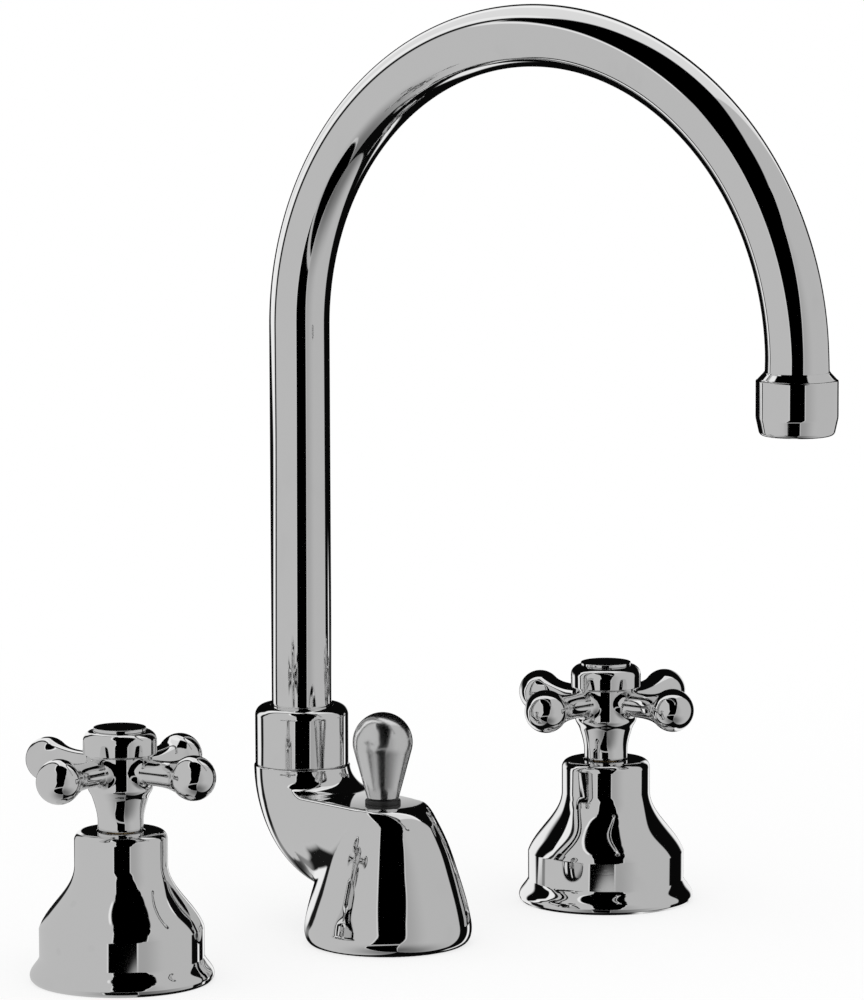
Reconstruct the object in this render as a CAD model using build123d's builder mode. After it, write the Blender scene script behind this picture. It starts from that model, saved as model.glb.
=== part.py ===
"""Three-hole basin mixer with a tall swan-neck spout, two cross-handle valves and a pop-up lift knob.

Frame: the origin is the middle of the centre deck hole at the deck's upper face, +Z is up, the user
stands at -Y, and the cold valve is at +X. All sizes are in millimetres.
"""
from build123d import *
import math
import os

os.makedirs("parts", exist_ok=True)

# Clearances
turning_gap = 0.05
thread_gap = 0.1
seat_gap = 0.3
washer_gap = 0.4

# Deck and layout
deck_thickness = 25.0
side_hole_offset = 94.0
side_hole_set_back = 8.0
spout_set_back = 41.8
knob_set_back = 2.2
spout_turn = 13.3

# Spout base casting: the foot's side is given as shares of the seam's height and radii, and its
# rounded shoulder as depths below the plateau and radii
seam_height = 49.5
plateau_drop = 7.1
neck_flare = 4.2
foot_radius = 25.4
foot_edge_radius = 23.5
foot_lip_height = 4.5
foot_lip_swell = 0.8
foot_side = [(0.263, 23.8), (0.444, 21.1), (0.606, 18.4), (0.737, 15.4), (0.828, 13.1), (1.0, 9.5)]
foot_joint_lean = 0.3
shoulder = [(4.2, 14.9), (2.2, 13.3), (1.0, 11.9), (0.3, 10.3), (0.0, 8.5)]
neck_radius = 14.75
elbow_radius = 10.0
elbow_turn = 52.0
neck_joint_overlap = 0.4
neck_joint_halvings = 20
loft_shares = [0.0, 0.074, 0.169, 0.25, 0.47, 0.645, 0.77, 1.0]
boss_radius = 12.4
boss_height = 5.4

# Spout collar and its bearing
collar_radius = 14.35
collar_height = 18.3
collar_shoulder = 3.2
collar_chamfer = 0.35
collar_wall_bore = 0.35
bearing_height = 5.0
bearing_wall = 1.4
bearing_depth = 3.2

# Swan-neck spout
tube_radius = 9.2
tube_wall = 1.2
arc_radius = 91.4
arc_centre_height = 184.1
outlet_drop = 9.6
nipple_bore = 5.6
nipple_socket_radius = 8.5
nipple_socket_depth = 11.5
nipple_flange_radius = 11.0
nipple_flange_thickness = 2.8
nipple_tail = 8.0
oring_width = 2.0
oring_depth = 1.2
oring_pitch = 4.2

# Aerator
aerator_radius = 11.9
aerator_drop = 4.3
aerator_height = 16.0
aerator_taper_height = 5.0
aerator_taper = 1.1
aerator_edge = 1.5
aerator_rim = 0.4
aerator_wall = 1.1
ferrule_rise = 1.9
ferrule_wall = 1.3
aerator_seal_thickness = 1.8
insert_height = 4.0
insert_lip = 1.4
insert_hole_radius = 0.8
insert_pitch = 3.2
insert_ring_count = 3
insert_holes_per_ring = 6

# Pop-up lift knob
knob_radius = 9.1
knob_height = 26.2
knob_foot_radius = 4.8
knob_ring_radius = 5.4
knob_ring_height = 1.3
guide_radius = 3.4
guide_depth = 6.0
rod_radius = 2.0
rod_bottom = -84.0
rod_grip = 8.0

# Centre fixing under the deck
shank_radius = 15.0
shank_bore = 12.4
shank_socket = 12.0
shank_length = 62.0
feed_radius = 4.5
feed_bore = 3.3
feed_offset = 6.9
feed_socket = 10.0
feed_bottom = -106.0
feed_union_radius = 6.0
feed_union_length = 14.0
centre_washer_radius = 24.0
centre_nut_flats = 38.0
foot_seal_inner = 17.8
foot_seal_outer = 20.8
foot_seal_height = 2.0

# Washers and nuts shared by the three fixings
rubber_washer_thickness = 3.0
steel_washer_thickness = 2.0
back_nut_thickness = 8.0
nut_chamfer = 0.8

# Valve skirt
rim_radius = 27.2
rim_edge_radius = 26.2
rim_height = 1.7
rim_swell = 0.85
band_radius = 24.35
band_bottom = 7.0
band_top = 15.6
waist_radius = 13.75
waist_height = 34.5
skirt_height = 44.7
skirt_shoulder = 2.6
skirt_wall = 2.3
skirt_thread_bottom = 36.0
skirt_lip = 2.0
skirt_seal_inner = 23.2
skirt_seal_outer = 25.0
skirt_seal_height = 1.6

# Valve body under the skirt and under the deck
valve_shank_radius = 13.2
valve_top = 21.5
valve_water_bore = 6.0
cartridge_seat = 2.0
tee_radius = 16.0
tee_top = -52.0
tee_bottom = -80.0
tee_chamfer = 2.0
inlet_radius = 10.48
inlet_length = 16.0
outlet_radius = 8.33
outlet_reach = 32.0
outlet_thread = 13.0
outlet_shoulder_radius = 10.0
outlet_bore = 5.2
outlet_height = -66.0
side_washer_radius = 22.0
side_nut_flats = 36.0
deck_nut_radius = 19.5
deck_nut_thickness = 4.0
deck_nut_notches = 4
deck_nut_notch_width = 4.0
deck_nut_notch_depth = 2.4

# Ceramic cartridge
barrel_radius = 9.0
barrel_wall = 1.6
cartridge_flats = 20.0
cartridge_hex_height = 5.0
cartridge_neck_radius = 9.3
spindle_radius = 4.0
driver_radius = 6.6
driver_thickness = 3.0
disc_thickness = 3.4
disc_port_radius = 2.0
disc_port_offset = 3.6
disc_gap = 0.1
bottom_seal_thickness = 2.4

# Cross handle: the hub's heights are measured from the level of the arms
handle_turn_hot = 13.9
handle_turn_cold = 7.4
arm_height = 63.0
handle_neck_radius = 6.75
handle_neck_height = 2.6
flare_radius = 8.3
flare_drop = 8.4
bowl_radius = 9.6
bowl_drop = 5.4
drum_radius = 10.9
drum_rise = 4.2
drum_bevel = 1.2
drum_height = 2.5
hub_top_radius = 8.7
hub_top_rise = 11.4
spindle_drop = 3.0
arm_radius = 3.8
arm_straight = 13.5
arm_count = 4
bulb_reach = 27.7
bulb_radius = 6.65
bulb_join_angle = 118.0
arm_fillet = 1.0
button_radius = 7.8
button_height = 1.4
button_crown = 0.45
button_spigot_radius = 6.1
button_spigot = 4.0
screw_radius = 2.0
screw_head_radius = 3.6
screw_head_height = 2.6
screw_grip = 8.0
hub_web = 5.6


def finish(piece: BuildPart, name: str):
    """Label a finished piece and write it under its node name."""
    piece.part.label = name
    export_step(piece.part, f"parts/{name}.step")


def upright(x: float, y: float) -> Plane:
    """A plane for profiles that are turned about the vertical line through x, y."""
    return Plane(origin=(x, y, 0), x_dir=(1, 0, 0), z_dir=(0, -1, 0))


def vertical(x: float, y: float) -> Axis:
    """The vertical axis through x, y."""
    return Axis((x, y, 0), (0, 0, 1))


def turned(x: float, y: float, *outline: tuple):
    """Turn a closed outline of radius and height points about the vertical line through x, y."""
    with BuildSketch(upright(x, y)) as profile:
        with BuildLine():
            Polyline(*outline, close=True)
        make_face()
    revolve(profile.sketch, axis=vertical(x, y))


def ring(x: float, y: float, inner: float, outer: float, bottom: float, top: float, name: str):
    """A flat ring between two heights."""
    with BuildPart() as piece:
        with BuildSketch(Plane.XY.offset(bottom)):
            with Locations((x, y)):
                Circle(outer)
                Circle(inner, mode=Mode.SUBTRACT)
        extrude(amount=top - bottom)
    finish(piece, name)


def hex_nut(x: float, y: float, bore: float, flats: float, bottom: float, name: str):
    """A hexagonal back nut with its corners turned off."""
    top = bottom + back_nut_thickness
    corner = flats / math.sqrt(3)
    with BuildPart() as piece:
        with BuildSketch(Plane.XY.offset(bottom)):
            with Locations((x, y)):
                RegularPolygon(corner, 6)
                Circle(bore, mode=Mode.SUBTRACT)
        extrude(amount=back_nut_thickness)
        with BuildSketch(upright(x, y)):
            with BuildLine():
                Polyline(
                    (bore / 2, bottom),
                    (corner - nut_chamfer * 2, bottom),
                    (corner, bottom + nut_chamfer),
                    (corner, top - nut_chamfer),
                    (corner - nut_chamfer * 2, top),
                    (bore / 2, top),
                    close=True,
                )
            make_face()
        revolve(axis=vertical(x, y), mode=Mode.INTERSECT)
    finish(piece, name)


def fixing_set(x: float, y: float, shank: float, washer: float, flats: float, prefix: str):
    """The rubber washer, steel washer and back nut that clamp a shank under the deck."""
    rubber_bottom = -deck_thickness - rubber_washer_thickness
    steel_bottom = rubber_bottom - steel_washer_thickness
    bore = shank + washer_gap
    ring(x, y, bore, washer, rubber_bottom, -deck_thickness, f"{prefix}_rubber_washer")
    ring(x, y, bore, washer, steel_bottom, rubber_bottom, f"{prefix}_steel_washer")
    nut_bottom = steel_bottom - back_nut_thickness
    hex_nut(x, y, shank + thread_gap, flats, nut_bottom, f"{prefix}_back_nut")


# Spout base: a turned foot whose upper part grows rearwards into the bent neck
plateau_height = seam_height - plateau_drop
elbow_reach = elbow_radius + neck_radius
elbow_pivot = spout_set_back - elbow_radius
elbow_end = math.radians(elbow_turn)
elbow_end_height = seam_height - elbow_reach * math.sin(elbow_end)
elbow_end_rear = elbow_pivot + elbow_reach * math.cos(elbow_end)
foot_outline = [(foot_lip_height, foot_radius)]
foot_outline += [(share * seam_height, radius) for share, radius in foot_side]
nipple_socket_floor = seam_height - nipple_socket_depth


def foot_side_radius(height: float) -> float:
    """Radius of the foot's side at a height, from the outline's straight runs."""
    for (low, low_radius), (high, high_radius) in zip(foot_outline, foot_outline[1:]):
        if height <= high:
            share = (height - low) / (high - low)
            return low_radius + share * (high_radius - low_radius)
    return foot_outline[-1][1]


def neck_joint() -> float:
    """Height at which the neck's rear side, running down, has come onto the foot's side."""
    low, high = foot_lip_height, elbow_end_height
    for _ in range(neck_joint_halvings):
        middle = (low + high) / 2
        rear = elbow_end_rear - (elbow_end_height - middle) * math.tan(elbow_end)
        if rear > foot_side_radius(middle) + neck_joint_overlap:
            high = middle
        else:
            low = middle
    return high


def neck_slice(height: float) -> tuple:
    """Centre and radius of the neck's rear where a level plane cuts it."""
    if height >= elbow_end_height:
        turn = math.asin((seam_height - height) / elbow_reach)
        return elbow_pivot + elbow_radius * math.cos(turn), neck_radius * math.cos(turn)
    radius = neck_radius * math.cos(elbow_end)
    rear = elbow_end_rear - (elbow_end_height - height) * math.tan(elbow_end)
    return rear - radius, radius


neck_joint_height = neck_joint()


def casting_section(height: float, front: float, grown: float = 0) -> Sketch:
    """The level outline: a front arc, a rear arc and the two tangents between them."""
    centre, rear = neck_slice(height)
    rear += grown
    tangent = math.acos((front - rear) / centre)
    side, ahead = math.sin(tangent), math.cos(tangent)
    front_point = (front * side, front * ahead)
    rear_point = (rear * side, centre + rear * ahead)
    with BuildSketch(Plane.XY.offset(height)) as section:
        with BuildLine():
            front_arc = ThreePointArc((-front_point[0], front_point[1]), (0, -front), front_point)
            right = Line(front_arc @ 1, rear_point)
            rear_arc = ThreePointArc(right @ 1, (0, centre + rear), (-rear_point[0], rear_point[1]))
            Line(rear_arc @ 1, front_arc @ 0)
        make_face()
    return section.sketch


def spout_base():
    """The casting: foot, plateau with its knob hole, bent neck, threaded boss and sockets."""
    rise = seam_height - neck_joint_height
    levels = [neck_joint_height + share * rise for share in loft_shares]
    with BuildPart() as flare:
        with BuildSketch(upright(0, spout_set_back)):
            with BuildLine():
                floor = Line((0, 0), (neck_radius + neck_flare, 0))
                wall = Line(floor @ 1, (neck_radius + neck_flare, plateau_height))
                curve = RadiusArc(wall @ 1, (neck_radius, plateau_height + neck_flare), neck_flare)
                stem = Line(curve @ 1, (neck_radius, seam_height + neck_flare))
                lid = Line(stem @ 1, (0, seam_height + neck_flare))
                Line(lid @ 1, floor @ 0)
            make_face()
        revolve(axis=vertical(0, spout_set_back))
    with BuildPart() as cap:
        loft([casting_section(plateau_height - depth, front, seat_gap) for depth, front in shoulder])
    with BuildPart() as waste:
        with BuildSketch(Plane.XY.offset(plateau_height - shoulder[0][0])):
            Rectangle(4 * foot_radius, 2 * spout_set_back)
        extrude(amount=foot_radius)
        add(cap.part, mode=Mode.SUBTRACT)
        add(flare.part, mode=Mode.SUBTRACT)
    with BuildPart() as upper:
        loft([casting_section(height, foot_side_radius(height)) for height in levels])
        add(waste.part, mode=Mode.SUBTRACT)
    with BuildPart() as piece:
        with BuildSketch(Plane.XZ):
            with BuildLine():
                floor = Line((0, 0), (foot_edge_radius, 0))
                lip_middle = (
                    foot_edge_radius + foot_lip_swell * (foot_radius - foot_edge_radius),
                    foot_lip_height / 2,
                )
                lip = ThreePointArc(floor @ 1, lip_middle, (foot_radius, foot_lip_height))
                joint = (foot_side_radius(neck_joint_height), neck_joint_height)
                side = Spline(lip @ 1, joint, tangents=[(0, 1), (-foot_joint_lean, 1)])
                lid = Line(side @ 1, (0, neck_joint_height))
                Line(lid @ 1, floor @ 0)
            make_face()
        revolve(axis=Axis.Z)
        add(upper.part)
        # Threaded boss for the collar, with the bearing seat inside it
        with BuildSketch(Plane.XY.offset(seam_height)):
            with Locations((0, spout_set_back)):
                Circle(boss_radius)
                Circle(nipple_flange_radius + seat_gap, mode=Mode.SUBTRACT)
        extrude(amount=boss_height)
        # Socket that the spout's nipple turns in
        with BuildSketch(Plane.XY.offset(nipple_socket_floor)):
            with Locations((0, spout_set_back)):
                Circle(nipple_socket_radius)
        extrude(amount=seam_height + boss_height - nipple_socket_floor, mode=Mode.SUBTRACT)
        # Sockets for the hollow shank and the feed tail, and the lift rod's hole
        with BuildSketch(Plane.XY):
            Circle(shank_radius + thread_gap)
        extrude(amount=shank_socket, mode=Mode.SUBTRACT)
        with BuildSketch(Plane.XY.offset(shank_socket)):
            with Locations((0, -feed_offset)):
                Circle(feed_radius + thread_gap)
        extrude(amount=feed_socket, mode=Mode.SUBTRACT)
        with BuildSketch(Plane.XY.offset(shank_socket)):
            with Locations((0, knob_set_back)):
                Circle(rod_radius + seat_gap)
        extrude(amount=plateau_height - shank_socket, mode=Mode.SUBTRACT)
        with BuildSketch(Plane.XY.offset(plateau_height - guide_depth)):
            with Locations((0, knob_set_back)):
                Circle(guide_radius + thread_gap)
        extrude(amount=guide_depth, mode=Mode.SUBTRACT)
        # Groove for the foot seal
        with BuildSketch(Plane.XY):
            Circle(foot_seal_outer)
            Circle(foot_seal_inner, mode=Mode.SUBTRACT)
        extrude(amount=foot_seal_height, mode=Mode.SUBTRACT)
    finish(piece, "spout_base")


def centre_fixing():
    """Hollow threaded shank, feed tail, foot seal, washers and nut of the spout."""
    socket_top = shank_socket - seat_gap
    ring(0, 0, shank_bore, shank_radius, -shank_length, socket_top, "spout_shank")
    seal_inner = foot_seal_inner + thread_gap
    seal_outer = foot_seal_outer - thread_gap
    ring(0, 0, seal_inner, seal_outer, 0, foot_seal_height - thread_gap, "spout_foot_seal")
    fixing_set(0, 0, shank_radius, centre_washer_radius, centre_nut_flats, "spout")
    union_top = feed_bottom + feed_union_length
    feed_top = shank_socket + feed_socket - seat_gap
    with BuildPart() as piece:
        turned(
            0,
            -feed_offset,
            (feed_bore, feed_bottom),
            (feed_union_radius, feed_bottom),
            (feed_union_radius, union_top),
            (feed_radius, union_top + feed_union_radius - feed_radius),
            (feed_radius, feed_top),
            (feed_bore, feed_top),
        )
    finish(piece, "spout_feed_tail")


# Spout collar, bearing and swivelling swan neck
boss_top = seam_height + boss_height
flange_bottom = seam_height + disc_gap
flange_top = flange_bottom + nipple_flange_thickness
slip_washer_bottom = flange_top + disc_gap
collar_step = boss_top + thread_gap
collar_top = seam_height + collar_height
collar_bore = tube_radius + collar_wall_bore
bearing_top = collar_top - bearing_depth
spout_heading = math.radians(spout_turn)
spout_forward = (math.sin(spout_heading), -math.cos(spout_heading))
outlet_x = 2 * arc_radius * spout_forward[0]
outlet_y = spout_set_back + 2 * arc_radius * spout_forward[1]
outlet_bottom = arc_centre_height - outlet_drop
aerator_top = arc_centre_height - aerator_drop
aerator_bottom = aerator_top - aerator_height


def spout_collar():
    """The round-shouldered collar nut that screws over the boss and traps the spout's flange."""
    thread_bore = boss_radius + thread_gap
    groove = tube_radius + turning_gap + bearing_wall + turning_gap
    groove_bottom = bearing_top - bearing_height
    with BuildPart() as piece:
        with BuildSketch(upright(0, spout_set_back)):
            with BuildLine():
                base = Polyline(
                    (thread_bore, seam_height),
                    (collar_radius - collar_chamfer, seam_height),
                    (collar_radius, seam_height + collar_chamfer),
                    (collar_radius, collar_top - collar_shoulder),
                )
                crown = RadiusArc(base @ 1, (collar_radius - collar_shoulder, collar_top), -collar_shoulder)
                Polyline(
                    crown @ 1,
                    (collar_bore, collar_top),
                    (collar_bore, bearing_top),
                    (groove, bearing_top),
                    (groove, groove_bottom),
                    (collar_bore, groove_bottom),
                    (collar_bore, collar_step),
                    (thread_bore, collar_step),
                    base @ 0,
                )
            make_face()
        revolve(axis=vertical(0, spout_set_back))
    finish(piece, "spout_collar")
    bearing_inner = tube_radius + turning_gap
    bearing_outer = groove - turning_gap
    ring(0, spout_set_back, bearing_inner, bearing_outer, groove_bottom, bearing_top, "spout_bearing")
    washer_outer = nipple_flange_radius + seat_gap - thread_gap
    ring(0, spout_set_back, collar_bore, washer_outer, slip_washer_bottom, collar_step, "spout_slip_washer")


def spout_nipple():
    """The flanged nipple brazed into the tube, with grooves for two O-rings."""
    stem = nipple_socket_radius - turning_gap
    floor = stem - oring_depth
    bottom = nipple_socket_floor + seat_gap
    first = bottom + oring_pitch / 2
    second = first + oring_pitch
    spigot = tube_radius - tube_wall - turning_gap
    with BuildPart() as piece:
        turned(
            0,
            spout_set_back,
            (nipple_bore, bottom),
            (stem, bottom),
            (stem, first),
            (floor, first),
            (floor, first + oring_width),
            (stem, first + oring_width),
            (stem, second),
            (floor, second),
            (floor, second + oring_width),
            (stem, second + oring_width),
            (stem, flange_bottom),
            (nipple_flange_radius, flange_bottom),
            (nipple_flange_radius, flange_top),
            (spigot, flange_top),
            (spigot, flange_top + nipple_tail),
            (nipple_bore, flange_top + nipple_tail),
        )
    finish(piece, "spout_nipple")
    with BuildPart() as orings:
        for low in (first, second):
            with BuildSketch(Plane.XY.offset(low + turning_gap)):
                with Locations((0, spout_set_back)):
                    Circle(stem)
                    Circle(floor + turning_gap, mode=Mode.SUBTRACT)
            extrude(amount=oring_width - 2 * turning_gap)
    finish(orings, "spout_orings")


def spout_tube():
    """The bent tube: a straight riser, a half circle and a short drop into the aerator."""
    across = (spout_forward[1], -spout_forward[0], 0)
    spout_plane = Plane(origin=(0, spout_set_back, 0), x_dir=(*spout_forward, 0), z_dir=across)
    with BuildPart() as piece:
        with BuildLine(spout_plane) as route:
            riser = Line((0, flange_top), (0, arc_centre_height))
            crown = (arc_radius, arc_centre_height + arc_radius)
            arc = ThreePointArc(riser @ 1, crown, (2 * arc_radius, arc_centre_height))
            Line(arc @ 1, (2 * arc_radius, outlet_bottom))
        with BuildSketch(Plane(origin=(0, spout_set_back, flange_top))):
            Circle(tube_radius)
            Circle(tube_radius - tube_wall, mode=Mode.SUBTRACT)
        sweep(path=route.line)
    finish(piece, "spout_tube")


def aerator():
    """Ferrule with its cone on the tube's end, screwed housing, seal and perforated flow insert."""
    bore = aerator_radius - aerator_wall
    insert_top = aerator_bottom + insert_lip + insert_height
    seal_top = insert_top + aerator_seal_thickness
    ferrule_radius = bore - thread_gap
    cone_bottom = aerator_top + turning_gap
    cone_top = aerator_top + ferrule_rise
    tube_bore = tube_radius + thread_gap
    throat = tube_radius - tube_wall
    with BuildPart() as ferrule:
        turned(
            outlet_x,
            outlet_y,
            (throat - ferrule_wall, seal_top),
            (ferrule_radius, seal_top),
            (ferrule_radius, cone_bottom),
            (aerator_radius - aerator_rim, cone_bottom),
            (tube_bore, cone_top),
            (tube_bore, outlet_bottom - turning_gap),
            (throat - ferrule_wall, outlet_bottom - turning_gap),
        )
    finish(ferrule, "aerator_ferrule")
    low = aerator_radius - aerator_taper
    lip = low - aerator_wall - insert_lip
    with BuildPart() as housing:
        with BuildSketch(upright(outlet_x, outlet_y)):
            with BuildLine():
                foot = Line((lip, aerator_bottom), (low - aerator_edge, aerator_bottom))
                edge = RadiusArc(foot @ 1, (low, aerator_bottom + aerator_edge), -aerator_edge)
                Polyline(
                    edge @ 1,
                    (aerator_radius, aerator_bottom + aerator_taper_height),
                    (aerator_radius, aerator_top - aerator_rim),
                    (aerator_radius - aerator_rim, aerator_top),
                    (bore, aerator_top),
                    (bore, aerator_bottom + insert_lip + aerator_taper_height),
                    (low - aerator_wall, aerator_bottom + insert_lip + aerator_edge),
                    (low - aerator_wall, aerator_bottom + insert_lip),
                    (lip, aerator_bottom + insert_lip),
                    foot @ 0,
                )
            make_face()
        revolve(axis=vertical(outlet_x, outlet_y))
    finish(housing, "aerator_housing")
    insert_radius = low - aerator_wall - thread_gap
    seal_inner = throat - ferrule_wall
    ring(outlet_x, outlet_y, seal_inner, insert_radius, insert_top, seal_top, "aerator_seal")
    with BuildPart() as insert:
        with BuildSketch(Plane.XY.offset(aerator_bottom + insert_lip)):
            with Locations((outlet_x, outlet_y)):
                Circle(insert_radius)
                for turn in range(insert_ring_count):
                    with PolarLocations(turn * insert_pitch, max(1, turn * insert_holes_per_ring)):
                        Circle(insert_hole_radius, mode=Mode.SUBTRACT)
        extrude(amount=insert_height)
    finish(insert, "aerator_insert")


def lift_knob():
    """Teardrop knob on its rod, and the black guide ring that it stands on."""
    ring_top = plateau_height + knob_ring_height
    knob_bottom = ring_top + seat_gap
    centre = knob_bottom + knob_height - knob_radius
    height = centre - knob_bottom
    # The cone's side touches the ball: the side leans by the difference of the radii over its length
    reach = math.hypot(height, knob_foot_radius)
    lean = math.asin(knob_radius / reach) - math.atan2(knob_foot_radius, height)
    touch = (knob_radius * math.cos(lean), centre - knob_radius * math.sin(lean))
    with BuildPart() as knob:
        with BuildSketch(upright(0, knob_set_back)):
            with BuildLine():
                floor = Line((rod_radius + turning_gap, knob_bottom), (knob_foot_radius, knob_bottom))
                side = Line(floor @ 1, touch)
                ball = ThreePointArc(side @ 1, (knob_radius, centre), (0, centre + knob_radius))
                Polyline(
                    ball @ 1,
                    (0, knob_bottom + rod_grip),
                    (rod_radius + turning_gap, knob_bottom + rod_grip),
                    floor @ 0,
                )
            make_face()
        revolve(axis=vertical(0, knob_set_back))
    finish(knob, "lift_knob")
    bore = rod_radius + turning_gap
    guide_bottom = plateau_height - guide_depth
    with BuildPart() as guide:
        turned(
            0,
            knob_set_back,
            (bore, guide_bottom),
            (guide_radius, guide_bottom),
            (guide_radius, plateau_height),
            (knob_ring_radius, plateau_height),
            (knob_ring_radius, ring_top),
            (bore, ring_top),
        )
    finish(guide, "lift_knob_guide")
    with BuildPart() as rod:
        with BuildSketch(Plane.XY.offset(rod_bottom)):
            with Locations((0, knob_set_back)):
                Circle(rod_radius)
        extrude(amount=knob_bottom + rod_grip - seat_gap - rod_bottom)
    finish(rod, "lift_rod")


# Side valves
def skirt(x: float, y: float, side: str):
    """The bell-shaped skirt, hollow over the valve and threaded at its neck."""
    band_inner = band_radius - skirt_wall
    waist_inner = waist_radius - skirt_wall
    thread = cartridge_neck_radius + thread_gap
    nose = handle_neck_radius + seat_gap
    with BuildPart() as piece:
        with BuildSketch(upright(x, y)):
            with BuildLine():
                floor = Line((band_inner, 0), (rim_edge_radius, 0))
                rim_middle = rim_edge_radius + rim_swell * (rim_radius - rim_edge_radius)
                rim = ThreePointArc(floor @ 1, (rim_middle, rim_height / 2), (rim_radius, rim_height))
                cove = Spline(rim @ 1, (band_radius, band_bottom), tangents=[(0, 1), (-0.3, 1)])
                band = Line(cove @ 1, (band_radius, band_top))
                ogee = Spline(band @ 1, (waist_radius, waist_height), tangents=[(-0.35, 1), (0, 1)])
                neck = Line(ogee @ 1, (waist_radius, skirt_height - skirt_shoulder))
                crown = RadiusArc(neck @ 1, (waist_radius - skirt_shoulder, skirt_height), -skirt_shoulder)
                bore = Polyline(
                    crown @ 1,
                    (nose, skirt_height),
                    (nose, skirt_height - skirt_lip),
                    (thread, skirt_height - skirt_lip),
                    (thread, skirt_thread_bottom),
                    (waist_inner, skirt_thread_bottom),
                    (waist_inner, waist_height),
                )
                hollow = Spline(bore @ 1, (band_inner, band_top), tangents=[(0, -1), (0.35, -1)])
                Line(hollow @ 1, floor @ 0)
            make_face()
        revolve(axis=vertical(x, y))
        with BuildSketch(Plane.XY):
            with Locations((x, y)):
                Circle(skirt_seal_outer)
                Circle(skirt_seal_inner, mode=Mode.SUBTRACT)
        extrude(amount=skirt_seal_height, mode=Mode.SUBTRACT)
    finish(piece, f"{side}_skirt")
    seal_inner = skirt_seal_inner + thread_gap
    seal_outer = skirt_seal_outer - thread_gap
    ring(x, y, seal_inner, seal_outer, 0, skirt_seal_height - thread_gap, f"{side}_skirt_seal")


def valve_body(x: float, y: float, inward: int, side: str):
    """The brass body: cartridge seat, threaded shank, and a tee with the inlet and the side outlet."""
    bore = barrel_radius + thread_gap
    inlet_bottom = tee_bottom - inlet_length
    with BuildPart() as piece:
        turned(
            x,
            y,
            (valve_water_bore, inlet_bottom),
            (inlet_radius, inlet_bottom),
            (inlet_radius, tee_bottom),
            (tee_radius - tee_chamfer, tee_bottom),
            (tee_radius, tee_bottom + tee_chamfer),
            (tee_radius, tee_top - tee_chamfer),
            (tee_radius - tee_chamfer, tee_top),
            (valve_shank_radius, tee_top),
            (valve_shank_radius, valve_top),
            (bore, valve_top),
            (bore, cartridge_seat),
            (valve_water_bore, cartridge_seat),
        )
        port = Plane(origin=(x, y, outlet_height), z_dir=(inward, 0, 0))
        with BuildSketch(port.offset(valve_water_bore)):
            Circle(outlet_shoulder_radius)
        extrude(amount=outlet_reach - outlet_thread - valve_water_bore)
        with BuildSketch(port.offset(outlet_reach - outlet_thread)):
            Circle(outlet_radius)
        extrude(amount=outlet_thread)
        with BuildSketch(Plane.XY.offset(tee_bottom)):
            with Locations((x, y)):
                Circle(valve_water_bore)
        extrude(amount=tee_top - tee_bottom, mode=Mode.SUBTRACT)
        with BuildSketch(port):
            Circle(outlet_bore)
        extrude(amount=outlet_reach, mode=Mode.SUBTRACT)
    finish(piece, f"{side}_valve_body")
    with BuildPart() as deck_nut:
        with BuildSketch():
            with Locations((x, y)):
                Circle(deck_nut_radius)
                Circle(valve_shank_radius + thread_gap, mode=Mode.SUBTRACT)
                with PolarLocations(deck_nut_radius, deck_nut_notches):
                    Rectangle(2 * deck_nut_notch_depth, deck_nut_notch_width, mode=Mode.SUBTRACT)
        extrude(amount=deck_nut_thickness)
    finish(deck_nut, f"{side}_deck_nut")
    fixing_set(x, y, valve_shank_radius, side_washer_radius, side_nut_flats, side)


barrel_bottom = cartridge_seat + seat_gap
barrel_bore = barrel_radius - barrel_wall
seal_top = barrel_bottom + bottom_seal_thickness
fixed_disc_top = seal_top + disc_thickness
moving_disc_bottom = fixed_disc_top + disc_gap
moving_disc_top = moving_disc_bottom + disc_thickness
driver_bottom = moving_disc_top + turning_gap
driver_top = driver_bottom + driver_thickness
hex_top = valve_top + cartridge_hex_height
handle_bottom = skirt_height + seat_gap
handle_neck_top = handle_bottom + handle_neck_height
flare_height = arm_height - flare_drop
bowl_height = arm_height - bowl_drop
drum_bottom = arm_height + drum_rise
drum_band = drum_bottom + drum_bevel
drum_shoulder = drum_band + drum_height
hub_top = arm_height + hub_top_rise
spindle_top = arm_height - spindle_drop
hub_bore_top = spindle_top + seat_gap
screw_seat = hub_bore_top + hub_web


def disc(x: float, y: float, turn: float, bottom: float, name: str):
    """A ceramic disc with two sector ports, one of the pair that opens and shuts the water way."""
    with BuildPart() as piece:
        with BuildSketch(Plane.XY.offset(bottom)):
            with Locations((x, y)):
                Circle(barrel_bore - seat_gap)
                with PolarLocations(disc_port_offset, 2, start_angle=turn):
                    Circle(disc_port_radius, mode=Mode.SUBTRACT)
        extrude(amount=disc_thickness)
    finish(piece, name)


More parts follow.
